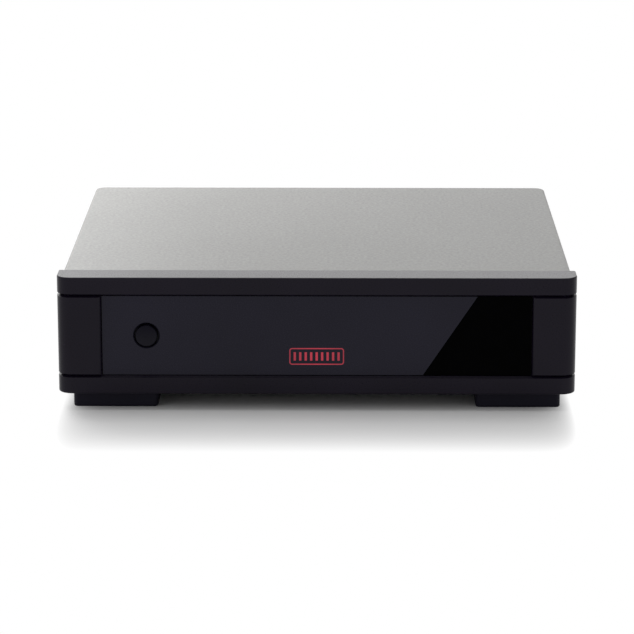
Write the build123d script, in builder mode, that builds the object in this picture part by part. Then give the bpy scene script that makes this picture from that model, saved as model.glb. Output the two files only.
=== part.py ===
from build123d import *
import os

# Phono preamplifier in a compact half-width case.
# All lengths are in millimetres. X runs to the right as seen from the front, Y runs from the front
# to the back and Z runs up. The origin is under the middle of the overall box, where the feet stand.

os.makedirs("parts", exist_ok=True)

# Case sizes
body_width = 180.0
body_depth = 154.0
foot_height = 6.0
lower_bar_height = 6.4
panel_height = 28.6
upper_bar_height = 6.5

# Clearances
fit_gap = 0.15
running_gap = 0.05
thread_gap = 0.05

# Front moulding
fascia_depth = 11.7
fascia_wall = 2.5
fascia_corner_radius = 5.0
fascia_edge_radius = 0.5
groove_depth = 1.0
groove_half_mouth = 0.6
end_block_width = 15.4
panel_recess = 1.2
web_thickness = 1.8
tongue_length = 3.0
tongue_thickness = 1.5
tongue_inset = 10.0
boss_radius = 3.0

# Front panel and gloss inlay
panel_thickness = 2.5
panel_gap = 0.25
inlay_top_width = 18.9
inlay_bottom_width = 37.6
hole_rim_chamfer = 0.3

# Indicator: a lit scale of equal bars in a thin outline
marks_x = 0.0
marks_rise = 6.9
marks_width = 19.0
marks_height = 6.0
marks_line = 0.4
marks_depth = 0.4
marks_corner_radius = 1.0
marks_count = 9
marks_bar_width = 0.8
marks_bar_margin = 1.1
guide_flange = 0.5
guide_tip_size = 4.0
led_radius = 2.5
led_length = 6.5
led_flange_radius = 2.9
led_flange_height = 1.0

# Power button and its switch
button_inset = 15.6
button_hole_radius = 4.35
button_radius = 3.75
button_proud = 1.3
button_dome = 0.35
button_edge_radius = 0.45
button_travel = 1.5
button_flange_radius = 5.3
button_flange_thickness = 1.0
rod_radius = 1.5
rod_length = 3.2
plunger_radius = 1.3
plunger_reach = 2.0
plunger_engagement = 3.0
switch_width = 8.0
switch_end_room = 0.7
switch_end_wall = 0.8
spring_radius = 2.6
spring_wire_radius = 0.25
spring_turns = 4.5

# Front board
front_board_margin = 12.0
front_board_height = 20.0
front_board_rise = 9.0
front_board_thickness = 1.6
front_board_hole_inset = 3.5

# Top cover
cover_side_inset = 1.75
cover_drop = 0.1
cover_wall = 1.2
cover_corner_radius = 4.0
cover_edge_radius = 0.8
cover_side_lip = 6.5
cover_top_lip = 5.0
cover_screw_inset = 24.0

# Base tray
tray_wall = 1.2
tray_rim_height = 7.0
tray_corner_radius = 4.0
screw_line_height = 4.0

# Rear panel
rear_panel_wall = 1.2
rear_screw_inset = 7.0

# Feet
foot_width = 29.5
foot_length = 24.0
foot_side_inset = 5.0
front_foot_setback = 4.8
rear_foot_setback = 8.0
foot_corner_radius = 1.5
foot_edge_radius = 0.7
foot_screw_sink = 3.0

# Screws
screw_radius = 1.5
screw_head_radius = 2.7
screw_head_height = 1.6
screw_slot_width = 0.7
screw_slot_depth = 0.9
screw_hole_radius = 1.65
cover_screw_length = 5.0
fascia_screw_length = 7.0
fascia_screw_outer_inset = 18.0
fascia_screw_inner_inset = 60.0
foot_screw_length = 7.0
board_screw_length = 5.0
front_board_screw_length = 7.0
block_screw_length = 8.0

# Main board and what holds it
standoff_height = 5.0
standoff_radius = 3.0
board_thickness = 1.6
board_side_inset = 10.0
board_front_gap = 4.4
board_rear_gap = 0.4
standoff_side_inset = 7.0
standoff_front_inset = 8.0
standoff_rear_inset = 34.0

# Phono sockets
socket_rise = 10.8
socket_pitch = 18.0
input_pair_inset = 30.0
block_width = 36.0
block_depth = 12.0
block_height = 18.0
block_edge_radius = 0.6
sleeve_radius = 4.15
sleeve_wall = 0.5
sleeve_step = 0.2
socket_proud = 9.0
collar_radius = 5.0
ring_radius = 6.0
ring_thickness = 2.0
core_recess = 0.6
contact_bore_radius = 1.6
contact_wall = 0.5
contact_length = 8.0

# Earth post
post_side_room = 9.0
post_radius = 2.0
post_flats = 7.0
post_collar_thickness = 2.0
washer_radius = 4.5
washer_thickness = 0.8
thumb_nut_radius = 5.0
thumb_nut_thickness = 4.5
thumb_nut_flutes = 20
thumb_nut_flute_radius = 0.45
post_thread_pitch = 0.7
thumb_nut_turns = 3
post_reserve = 0.6
lock_nut_thickness = 3.2
terminal_thickness = 0.8
terminal_radius = 4.0
terminal_reach = 9.0
terminal_barrel_radius = 1.4
terminal_barrel_length = 5.0
post_inner_reserve = 1.5
earth_wire_radius = 0.8
earth_wire_rise = 5.0
earth_wire_run = 13.0
earth_wire_bend = 4.0

# Power inlet
inlet_inset = 25.0
inlet_width = 9.0
inlet_height = 11.0
inlet_depth = 14.0
inlet_rise = 6.5
inlet_nose_radius = 3.9
inlet_bore_radius = 2.85
inlet_bore_depth = 10.0
inlet_pin_radius = 1.05
inlet_pin_recess = 1.0

# Parts on the main board
reservoir_radius = 6.25
reservoir_height = 20.0
electrolytic_radius = 3.15
electrolytic_height = 11.0
can_bevel = 0.5
film_length = 13.0
film_width = 6.0
film_height = 11.0
film_edge_radius = 0.5
chip_length = 9.8
chip_width = 6.4
chip_height = 3.3
chip_lift = 0.6
chip_pin_pitch = 2.54
chip_pin_width = 0.6
transistor_radius = 2.35
transistor_flat = 1.3
transistor_height = 4.6
transistor_lift = 3.0
lead_radius = 0.3
lead_pitch = 1.27
resistor_radius = 1.2
resistor_length = 6.4
resistor_span = 10.0
diode_radius = 1.35
diode_length = 5.2
diode_span = 10.0
axial_lift = 0.4
relay_length = 15.0
relay_width = 7.6
relay_height = 10.0
choke_radius = 3.6
choke_waist_radius = 2.7
choke_height = 9.0
choke_flange = 1.5
fuse_radius = 2.5
fuse_length = 20.0
fuse_cap_length = 5.0
fuse_cap_wall = 0.15
clip_wall = 0.5
clip_width = 4.0
clip_base = 1.0
regulator_width = 10.0
regulator_body_depth = 3.2
regulator_body_height = 9.0
regulator_tab_height = 15.5
regulator_tab_thickness = 1.3
regulator_lift = 4.0
regulator_hole_radius = 1.8
sink_width = 24.0
sink_height = 25.0
sink_base = 2.0
sink_fin_length = 8.0
sink_fin_thickness = 1.0
sink_fin_count = 6
link_pin_count = 6
link_pin_pitch = 2.54
link_pin_width = 0.6
link_socket_length = 5.0
link_socket_height = 5.5
link_socket_setback = 0.6

# Places on the main board: insets from a side edge, setbacks from the rear edge, and pitches
reservoir_inset = 9.0
reservoir_setback = 44.0
reservoir_column_pitch = 15.0
reservoir_row_pitch = 16.0
choke_inset = 12.0
choke_setback = 22.0
choke_pitch = 9.5
diode_inset = 46.0
diode_setback = 8.0
diode_pitch = 6.0
fuse_inset = 32.0
fuse_setback = 16.0
sink_inset = 16.0
sink_setback = 80.0
sink_pitch = 28.0
relay_setback = 21.0
transistor_setback = 18.0
transistor_pitch = 8.0
audio_row_setback = 46.0
audio_row_pitch = 14.0
chip_inset = 24.0
chip_pitch = 28.0
electrolytic_inset = 12.0
electrolytic_pitch = 12.0
film_inset = 12.0
film_pitch = 15.0
resistor_inset = 10.0
resistor_pitch = 14.0
resistor_row_pitch = 6.0

# How many of each stand in a row
reservoir_columns = 2
reservoir_rows = 2
choke_count = 2
diode_count = 4
sink_count = 2
transistor_columns = 4
transistor_rows = 2
chip_count = 2
electrolytic_count = 6
film_count = 5
resistor_columns = 5
resistor_rows = 3

# Heights worked out from the sizes
base_z = foot_height
lower_groove_z = base_z + lower_bar_height
upper_groove_z = lower_groove_z + panel_height
top_z = upper_groove_z + upper_bar_height
cover_top_z = top_z - cover_drop
cover_inner_top_z = cover_top_z - cover_wall
tray_floor_z = base_z + tray_wall
screw_line_z = base_z + screw_line_height
board_bottom_z = tray_floor_z + standoff_height
board_top_z = board_bottom_z + board_thickness
socket_z = board_top_z + socket_rise
inlet_z = board_top_z + inlet_rise

# Depths worked out from the sizes
button_overhang = max(button_proud - panel_recess, 0.0)
post_proud = (
    post_collar_thickness
    + washer_thickness
    + thumb_nut_thickness
    + thumb_nut_turns * post_thread_pitch
    + post_reserve
    + 2 * fit_gap
)
overall_depth = button_overhang + body_depth - cover_wall + post_proud
front_y = button_overhang - overall_depth / 2
rear_y = front_y + body_depth
fascia_back_y = front_y + fascia_depth
panel_front_y = front_y + panel_recess
panel_back_y = panel_front_y + panel_thickness
web_back_y = panel_back_y + web_thickness
rear_panel_out_y = rear_y - cover_wall
rear_panel_in_y = rear_panel_out_y - rear_panel_wall

# Half widths worked out from the sizes
panel_half_width = body_width / 2 - end_block_width
cover_half_width = body_width / 2 - cover_side_inset
cover_inner_half_width = cover_half_width - cover_wall
tray_half_width = cover_inner_half_width - fit_gap
rear_panel_half_width = cover_inner_half_width - (cover_corner_radius - cover_wall) - fit_gap

# Button line, from the front back to the switch
button_x = button_inset - panel_half_width
button_z = lower_groove_z + panel_height / 2
button_tip_y = panel_front_y - button_proud
flange_front_y = panel_back_y + fit_gap
flange_back_y = flange_front_y + button_flange_thickness
rod_back_y = flange_back_y + rod_length
plunger_back_y = rod_back_y + plunger_reach + plunger_engagement
switch_front_y = rod_back_y + plunger_reach
switch_length = plunger_engagement + button_travel + switch_end_room + switch_end_wall
front_board_front_y = switch_front_y + switch_length
front_board_back_y = front_board_front_y + front_board_thickness
button_axis = Axis((button_x, 0, button_z), (0, 1, 0))

# Indicator line
marks_z = lower_groove_z + marks_rise
guide_width = marks_width + 2 * guide_flange
guide_height = marks_height + 2 * guide_flange
led_tip_y = front_board_front_y - led_length
guide_back_y = led_tip_y - fit_gap

# Front board outline and its four screws
front_board_left_x = button_x - front_board_margin
front_board_right_x = marks_x + guide_width / 2 + front_board_margin
front_board_width = front_board_right_x - front_board_left_x
front_board_x = (front_board_left_x + front_board_right_x) / 2
front_board_z = base_z + front_board_rise + front_board_height / 2
front_board_screw_pitch_x = front_board_width - 2 * front_board_hole_inset
front_board_screw_pitch_z = front_board_height - 2 * front_board_hole_inset

# Main board outline
board_half_width = body_width / 2 - board_side_inset
board_front_y = front_board_back_y + board_front_gap
board_rear_y = rear_panel_in_y - tray_wall - board_rear_gap
board_length = board_rear_y - board_front_y
board_y = (board_front_y + board_rear_y) / 2

# Rear connector places
input_pair_x = body_width / 2 - input_pair_inset
pair_spacing = block_width + 2 * post_side_room
output_pair_x = input_pair_x - pair_spacing
earth_post_x = input_pair_x - pair_spacing / 2
inlet_x = inlet_inset - body_width / 2
pair_places = [(input_pair_x, socket_z), (output_pair_x, socket_z)]
left_channel_places = [(x - socket_pitch / 2, z) for x, z in pair_places]
right_channel_places = [(x + socket_pitch / 2, z) for x, z in pair_places]
socket_places = left_channel_places + right_channel_places

# Screw places
fascia_screw_x = [
    side * (body_width / 2 - inset)
    for side in (-1, 1)
    for inset in (fascia_screw_outer_inset, fascia_screw_inner_inset)
]
fascia_screw_places = [(x, screw_line_z) for x in fascia_screw_x]
rear_screw_places = [
    (side * (rear_panel_half_width - rear_screw_inset), screw_line_z) for side in (-1, 1)
]
cover_screw_y = [fascia_back_y + cover_screw_inset, rear_y - cover_screw_inset]
standoff_x = board_half_width - standoff_side_inset
standoff_places = [
    (side * standoff_x, y)
    for side in (-1, 1)
    for y in (board_front_y + standoff_front_inset, board_rear_y - standoff_rear_inset)
] + [(0, board_rear_y - standoff_rear_inset)]
foot_x = body_width / 2 - foot_side_inset - foot_width / 2
front_foot_y = front_y + front_foot_setback + foot_length / 2
rear_foot_y = rear_y - rear_foot_setback - foot_length / 2
foot_places = [(side * foot_x, y) for side in (-1, 1) for y in (front_foot_y, rear_foot_y)]


def upright(y):
    """Plane across the case at one depth, drawn as seen from the front and extruded forwards."""
    return Plane.XZ.offset(-y)


def board_plane():
    """Plane on top of the main board, with its origin at the middle of the rear edge."""
    return Plane(origin=(0, board_rear_y, board_top_z))


def from_left(inset):
    """Place across the main board, counted from its left edge."""
    return inset - board_half_width


def from_right(inset):
    """Place across the main board, counted from its right edge."""
    return board_half_width - inset


def spaced(first, pitch, count):
    """Evenly spaced distances, counted from the first."""
    return [first + pitch * i for i in range(count)]


# Shapes used more than once


def fascia_layer(low, high, grooved_ends):
    """One level of the front moulding, with half a groove along the ends that are named."""
    with BuildPart() as layer:
        with BuildSketch(Plane.XY.offset(low)) as plan:
            with Locations((0, front_y)):
                Rectangle(body_width, fascia_depth, align=(Align.CENTER, Align.MIN))
            fillet(plan.vertices().group_by(Axis.Y)[0], radius=fascia_corner_radius)
        extrude(amount=high - low)
        for end in grooved_ends:
            level = layer.faces().filter_by(Axis.Z).sort_by(Axis.Z)[end]
            rim = level.edges().filter_by(lambda edge: edge.center().Y < fascia_back_y - fit_gap)
            chamfer(rim, length=groove_depth, length2=groove_half_mouth, reference=level)
    return layer.part


def marks_shape(plane):
    """Thin rounded outline with equal upright bars inside, drawn on a plane across the panel."""
    inner_width = marks_width - 2 * marks_line
    inner_height = marks_height - 2 * marks_line
    bar_pitch = (inner_width - 2 * marks_bar_margin - marks_bar_width) / (marks_count - 1)
    with BuildSketch(plane) as shape:
        with Locations((marks_x, marks_z)):
            RectangleRounded(marks_width, marks_height, marks_corner_radius)
            RectangleRounded(
                inner_width,
                inner_height,
                marks_corner_radius - marks_line,
                mode=Mode.SUBTRACT,
            )
            with GridLocations(bar_pitch, 1, marks_count, 1):
                Rectangle(marks_bar_width, inner_height - 2 * marks_bar_margin)
    return shape.sketch


def pan_screw(length):
    """Cross-recessed pan head screw: the head's seat is at Z = 0 and the shank points down."""
    with BuildPart() as screw:
        Cylinder(screw_radius, length, align=(Align.CENTER, Align.CENTER, Align.MAX))
        Cylinder(
            screw_head_radius,
            screw_head_height,
            align=(Align.CENTER, Align.CENTER, Align.MIN),
        )
        fillet(screw.edges().sort_by(Axis.Z)[-1], radius=screw_head_height / 2)
        with Locations((0, 0, screw_head_height)):
            for turn in (0, 90):
                Box(
                    2 * screw_radius,
                    screw_slot_width,
                    2 * screw_slot_depth,
                    rotation=(0, 0, turn),
                    mode=Mode.SUBTRACT,
                )
    return screw.part


def foot(side, y):
    """One foot under the case, with a sunk hole for its screw."""
    with BuildPart() as block:
        with BuildSketch() as plan:
            with Locations((side * foot_x, y)):
                RectangleRounded(foot_width, foot_length, foot_corner_radius)
        extrude(amount=foot_height)
        fillet(block.faces().sort_by(Axis.Z)[0].edges(), radius=foot_edge_radius)
        with Locations((side * foot_x, y, 0)):
            Cylinder(
                screw_hole_radius,
                foot_height,
                align=(Align.CENTER, Align.CENTER, Align.MIN),
                mode=Mode.SUBTRACT,
            )
            Cylinder(
                screw_head_radius + fit_gap,
                foot_screw_sink,
                align=(Align.CENTER, Align.CENTER, Align.MIN),
                mode=Mode.SUBTRACT,
            )
    return block


def socket_block(pair_x):
    """Plastic body of a pair of phono sockets, with a collar and a core for each of them."""
    sleeve_inner_radius = sleeve_radius - sleeve_wall
    core_face_y = rear_panel_out_y + socket_proud - core_recess
    contact_back_y = core_face_y - contact_length
    places = [(pair_x + side * socket_pitch / 2, socket_z) for side in (-1, 1)]
    with BuildPart() as block:
        with BuildSketch(upright(rear_panel_in_y)):
            with Locations((pair_x, board_top_z)):
                Rectangle(block_width, block_height, align=(Align.CENTER, Align.MIN))
        extrude(amount=block_depth)
        fillet(block.edges().filter_by(Axis.Y), radius=block_edge_radius)
        with BuildSketch(upright(rear_panel_out_y)):
            with Locations(*places):
                Circle(collar_radius)
        extrude(amount=rear_panel_wall)
        with BuildSketch(upright(core_face_y)):
            with Locations(*places):
                Circle(sleeve_inner_radius - running_gap)
        extrude(amount=core_face_y - rear_panel_out_y)
        with BuildSketch(upright(core_face_y)):
            with Locations(*places):
                Circle(contact_bore_radius + contact_wall + thread_gap)
        extrude(amount=core_face_y - contact_back_y, mode=Mode.SUBTRACT)
        with BuildSketch(upright(rear_panel_in_y)):
            with Locations((pair_x, socket_z)):
                Circle(screw_radius + thread_gap)
        extrude(amount=block_screw_length, mode=Mode.SUBTRACT)
    return block


def socket_sleeves(pair_x):
    """Metal outer sleeves of a pair of phono sockets, each with a thinner root inside its ring."""
    places = [(pair_x + side * socket_pitch / 2, socket_z) for side in (-1, 1)]
    with BuildPart() as sleeves:
        with BuildSketch(upright(rear_panel_out_y + socket_proud)):
            with Locations(*places):
                Circle(sleeve_radius)
        extrude(amount=socket_proud - ring_thickness)
        with BuildSketch(upright(rear_panel_out_y + ring_thickness)):
            with Locations(*places):
                Circle(sleeve_radius - sleeve_step)
        extrude(amount=ring_thickness)
        with BuildSketch(upright(rear_panel_out_y + socket_proud)):
            with Locations(*places):
                Circle(sleeve_radius - sleeve_wall)
        extrude(amount=socket_proud, mode=Mode.SUBTRACT)
    return sleeves


def insulator_rings(places):
    """Coloured rings round the sleeves, on the outside of the rear panel."""
    with BuildPart() as rings:
        with BuildSketch(upright(rear_panel_out_y + ring_thickness)):
            with Locations(*places):
                Circle(ring_radius)
                Circle(sleeve_radius - sleeve_step + running_gap, mode=Mode.SUBTRACT)
        extrude(amount=ring_thickness)
    return rings


def axial_part(body_radius, body_length, span):
    """Two-lead part lying over the board: a round body along X and leads bent down."""
    axis_height = axial_lift + body_radius
    with BuildPart() as piece:
        with Locations((0, 0, axis_height)):
            Cylinder(body_radius, body_length, rotation=(0, 90, 0))
            Cylinder(lead_radius, span + 2 * lead_radius, rotation=(0, 90, 0))
        with Locations((-span / 2, 0, 0), (span / 2, 0, 0)):
            Cylinder(lead_radius, axis_height, align=(Align.CENTER, Align.CENTER, Align.MIN))
    return piece.part


def upright_can(radius, height):
    """Round can standing on the board, bevelled at both ends."""
    with BuildPart() as can:
        Cylinder(radius, height, align=(Align.CENTER, Align.CENTER, Align.MIN))
        chamfer(can.edges(), length=can_bevel)
    return can.part


# Front moulding
with BuildPart() as front_fascia:
    add(fascia_layer(base_z, lower_groove_z, [-1]))
    add(fascia_layer(lower_groove_z, upper_groove_z, [0, -1]))
    add(fascia_layer(upper_groove_z, top_z, [0]))
    flat_levels = front_fascia.faces().filter_by(Axis.Z).sort_by(Axis.Z)
    for flat_level in (flat_levels[0], flat_levels[-1]):
        outer_rim = flat_level.edges().filter_by(
            lambda edge: edge.center().Y < fascia_back_y - fit_gap
        )
        fillet(outer_rim, radius=fascia_edge_radius)
    # Opening for the panel, with rounded inner edges on the end blocks
    block_edge = panel_half_width + panel_recess
    with BuildSketch(Plane.XY.offset(lower_groove_z)):
        with BuildLine():
            CenterArc((-block_edge, panel_front_y), panel_recess, -90, 90)
            Polyline(
                (-panel_half_width, panel_front_y),
                (-panel_half_width, panel_back_y),
                (panel_half_width, panel_back_y),
                (panel_half_width, panel_front_y),
            )
            CenterArc((block_edge, panel_front_y), panel_recess, 180, 90)
            Line((block_edge, front_y), (-block_edge, front_y))
        make_face()
    extrude(amount=panel_height, mode=Mode.SUBTRACT)
    # Hollow behind the web that backs the panel
    with BuildSketch(upright(fascia_back_y)):
        with Locations((0, (base_z + top_z) / 2)):
            Rectangle(body_width - 2 * fascia_wall, top_z - base_z - 2 * fascia_wall)
    extrude(amount=fascia_back_y - web_back_y, mode=Mode.SUBTRACT)
    with BuildSketch(upright(web_back_y)):
        with Locations((button_x, button_z)):
            Circle(button_flange_radius + fit_gap)
        with Locations((marks_x, marks_z)):
            Rectangle(guide_width + 2 * fit_gap, guide_height + 2 * fit_gap)
    extrude(amount=web_thickness, mode=Mode.SUBTRACT)
    # Bosses for the tray screws and posts for the front board
    with BuildSketch(upright(fascia_back_y)):
        with Locations(*fascia_screw_places):
            Circle(boss_radius)
    extrude(amount=fascia_back_y - web_back_y)
    with BuildSketch(upright(front_board_front_y)):
        with Locations((front_board_x, front_board_z)):
            with GridLocations(front_board_screw_pitch_x, front_board_screw_pitch_z, 2, 2):
                Circle(boss_radius)
    extrude(amount=front_board_front_y - web_back_y)
    with BuildSketch(upright(fascia_back_y)):
        with Locations(*fascia_screw_places):
            Circle(screw_radius + thread_gap)
    extrude(amount=fascia_back_y - web_back_y, mode=Mode.SUBTRACT)
    with BuildSketch(upright(front_board_front_y)):
        with Locations((front_board_x, front_board_z)):
            with GridLocations(front_board_screw_pitch_x, front_board_screw_pitch_z, 2, 2):
                Circle(screw_radius + thread_gap)
    extrude(amount=front_board_screw_length, mode=Mode.SUBTRACT)
    # Tongue that the top cover's front edge rests on
    with BuildSketch(upright(fascia_back_y + tongue_length)):
        with Locations((0, cover_inner_top_z - fit_gap)):
            Rectangle(
                body_width - 2 * tongue_inset,
                tongue_thickness,
                align=(Align.CENTER, Align.MAX),
            )
    extrude(amount=tongue_length + fascia_wall)
front_fascia.part.label = "front_fascia"
export_step(front_fascia.part, "parts/front_fascia.step")

# Front panel, with the button's hole and a shallow pocket for the indicator
inlay_top_x = panel_half_width - inlay_top_width
inlay_bottom_x = panel_half_width - inlay_bottom_width
panel_low_z = lower_groove_z + panel_gap
panel_high_z = upper_groove_z - panel_gap
with BuildPart() as front_panel:
    with BuildSketch(upright(panel_back_y)):
        Polygon(
            (panel_gap - panel_half_width, panel_low_z),
            (inlay_bottom_x - panel_gap / 2, panel_low_z),
            (inlay_top_x - panel_gap / 2, panel_high_z),
            (panel_gap - panel_half_width, panel_high_z),
            align=None,
        )
        with Locations((button_x, button_z)):
            Circle(button_hole_radius, mode=Mode.SUBTRACT)
    extrude(amount=panel_thickness)
    front_rim = front_panel.edges().filter_by(GeomType.CIRCLE).sort_by(Axis.Y)[0]
    chamfer(front_rim, length=hole_rim_chamfer)
    pocket = marks_shape(upright(panel_front_y + marks_depth))
    extrude(pocket, amount=marks_depth, mode=Mode.SUBTRACT)
front_panel.part.label = "front_panel"
export_step(front_panel.part, "parts/front_panel.step")

# Gloss black inlay with the slanted edge, flush with the panel
with BuildPart() as gloss_inlay:
    with BuildSketch(upright(panel_back_y)):
        Polygon(
            (inlay_bottom_x + panel_gap / 2, panel_low_z),
            (panel_half_width - panel_gap, panel_low_z),
            (panel_half_width - panel_gap, panel_high_z),
            (inlay_top_x + panel_gap / 2, panel_high_z),
            align=None,
        )
    extrude(amount=panel_thickness)
gloss_inlay.part.label = "gloss_inlay"
export_step(gloss_inlay.part, "parts/gloss_inlay.step")

# Indicator marks, let into the panel's face
with BuildPart() as indicator_marks:
    extrude(marks_shape(upright(panel_front_y + marks_depth)), amount=marks_depth)
indicator_marks.part.label = "indicator_marks"
export_step(indicator_marks.part, "parts/indicator_marks.step")

# Clear guide that spreads the lamp's light behind the marks
with BuildPart() as light_guide:
    with BuildSketch(upright(web_back_y)) as guide_mouth:
        with Locations((marks_x, marks_z)):
            Rectangle(guide_width, guide_height)
    extrude(amount=web_back_y - panel_back_y)
    with BuildSketch(upright(guide_back_y)) as guide_tip:
        with Locations((marks_x, marks_z)):
            Rectangle(guide_tip_size, guide_tip_size)
    loft([guide_mouth.sketch, guide_tip.sketch])
light_guide.part.label = "light_guide"
export_step(light_guide.part, "parts/light_guide.step")

# Indicator lamp on the front board
with BuildPart() as indicator_led:
    with BuildSketch(upright(front_board_front_y)):
        with Locations((marks_x, marks_z)):
            Circle(led_flange_radius)
    extrude(amount=led_flange_height)
    with BuildSketch(upright(front_board_front_y)):
        with Locations((marks_x, marks_z)):
            Circle(led_radius)
    extrude(amount=led_length)
    fillet(indicator_led.edges().sort_by(Axis.Y)[0], radius=0.8 * led_radius)
indicator_led.part.label = "indicator_led"
export_step(indicator_led.part, "parts/indicator_led.step")

# Front board that carries the switch and the lamp
with BuildPart() as front_board:
    with BuildSketch(upright(front_board_back_y)):
        with Locations((front_board_x, front_board_z)):
            Rectangle(front_board_width, front_board_height)
            with GridLocations(front_board_screw_pitch_x, front_board_screw_pitch_z, 2, 2):
                Circle(screw_hole_radius, mode=Mode.SUBTRACT)
    extrude(amount=front_board_thickness)
front_board.part.label = "front_board"
export_step(front_board.part, "parts/front_board.step")

with BuildPart() as front_board_screws:
    with Locations(
        Plane(
            origin=(front_board_x, front_board_back_y, front_board_z),
            x_dir=(1, 0, 0),
            z_dir=(0, 1, 0),
        )
    ):
        with GridLocations(front_board_screw_pitch_x, front_board_screw_pitch_z, 2, 2):
            add(pan_screw(front_board_screw_length))
front_board_screws.part.label = "front_board_screws"
export_step(front_board_screws.part, "parts/front_board_screws.step")

# Power button: a shallow dome with a retaining flange behind the panel
dome_rim_y = button_tip_y + button_dome
with BuildPart() as power_button:
    with BuildSketch(Plane(origin=(button_x, 0, button_z), z_dir=(0, 0, 1))) as profile:
        with BuildLine():
            TangentArc((0, button_tip_y), (button_radius, dome_rim_y), tangent=(1, 0))
            Polyline(
                (button_radius, dome_rim_y),
                (button_radius, flange_front_y),
                (button_flange_radius, flange_front_y),
                (button_flange_radius, flange_back_y),
                (0, flange_back_y),
                (0, button_tip_y),
            )
        make_face()
        dome_rim = profile.vertices().sort_by_distance((button_radius, dome_rim_y))[0]
        fillet(dome_rim, radius=button_edge_radius)
    revolve(axis=button_axis)
power_button.part.label = "power_button"
export_step(power_button.part, "parts/power_button.step")

# Rod behind the button and the switch's own plunger
with BuildPart() as button_rod:
    with BuildSketch(upright(rod_back_y)):
        with Locations((button_x, button_z)):
            Circle(rod_radius)
    extrude(amount=rod_length)
button_rod.part.label = "button_rod"
export_step(button_rod.part, "parts/button_rod.step")

with BuildPart() as switch_plunger:
    with BuildSketch(upright(plunger_back_y)):
        with Locations((button_x, button_z)):
            Circle(plunger_radius)
    extrude(amount=plunger_reach + plunger_engagement)
switch_plunger.part.label = "switch_plunger"
export_step(switch_plunger.part, "parts/switch_plunger.step")

with BuildPart() as switch_body:
    with BuildSketch(upright(front_board_front_y)):
        with Locations((button_x, button_z)):
            Rectangle(switch_width, switch_width)
    extrude(amount=switch_length)
    chamfer(switch_body.edges().filter_by(Axis.Y), length=block_edge_radius)
    with BuildSketch(upright(front_board_front_y - switch_end_wall)):
        with Locations((button_x, button_z)):
            Circle(plunger_radius + running_gap)
    extrude(amount=switch_length - switch_end_wall, mode=Mode.SUBTRACT)
switch_body.part.label = "switch_body"
export_step(switch_body.part, "parts/switch_body.step")

# Return spring between the button's flange and the switch
spring_space = switch_front_y - flange_back_y
spring_height = spring_space - 2 * (spring_wire_radius + fit_gap)
with BuildPart() as button_spring:
    with BuildLine():
        coil = Helix(
            pitch=spring_height / spring_turns,
            height=spring_height,
            radius=spring_radius,
            center=(button_x, flange_back_y + spring_wire_radius + fit_gap, button_z),
            direction=(0, 1, 0),
        )
    with BuildSketch(Plane(origin=coil @ 0, z_dir=coil % 0)):
        Circle(spring_wire_radius)
    sweep(path=coil, is_frenet=True)
button_spring.part.label = "button_spring"
export_step(button_spring.part, "parts/button_spring.step")

# Top cover: one drawn shell with rounded rear corners and lips round the rear panel
with BuildPart() as top_cover:
    with BuildSketch(Plane.XY.offset(base_z)) as cover_plan:
        with Locations((0, fascia_back_y)):
            Rectangle(
                2 * cover_half_width,
                rear_y - fascia_back_y,
                align=(Align.CENTER, Align.MIN),
            )
        fillet(cover_plan.vertices().group_by(Axis.Y)[-1], radius=cover_corner_radius)
    extrude(amount=cover_top_z - base_z)
    cover_rim = (
        top_cover.faces()
        .sort_by(Axis.Z)[-1]
        .edges()
        .filter_by(lambda edge: edge.center().Y > fascia_back_y + fit_gap)
    )
    fillet(cover_rim, radius=cover_edge_radius)
    with BuildSketch(Plane.XY.offset(base_z)) as cover_hollow:
        with Locations((0, fascia_back_y)):
            Rectangle(
                2 * cover_inner_half_width,
                rear_panel_out_y - fascia_back_y,
                align=(Align.CENTER, Align.MIN),
            )
        fillet(
            cover_hollow.vertices().group_by(Axis.Y)[-1],
            radius=cover_corner_radius - cover_wall,
        )
    extrude(amount=cover_inner_top_z - base_z, mode=Mode.SUBTRACT)
    with BuildSketch(upright(rear_y)):
        with Locations((0, base_z)):
            Rectangle(
                2 * (cover_half_width - cover_side_lip),
                cover_top_z - cover_top_lip - base_z,
                align=(Align.CENTER, Align.MIN),
            )
    extrude(amount=cover_wall, mode=Mode.SUBTRACT)
    with Locations(*[(0, y, screw_line_z) for y in cover_screw_y]):
        Cylinder(screw_hole_radius, 2 * body_width, rotation=(0, 90, 0), mode=Mode.SUBTRACT)
top_cover.part.label = "top_cover"
export_step(top_cover.part, "parts/top_cover.step")

with BuildPart() as cover_screws:
    with Locations(
        *[
            Plane(
                origin=(side * cover_half_width, y, screw_line_z),
                x_dir=(0, 1, 0),
                z_dir=(side, 0, 0),
            )
            for side in (-1, 1)
            for y in cover_screw_y
        ]
    ):
        add(pan_screw(cover_screw_length))
cover_screws.part.label = "cover_screws"
export_step(cover_screws.part, "parts/cover_screws.step")

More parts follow.
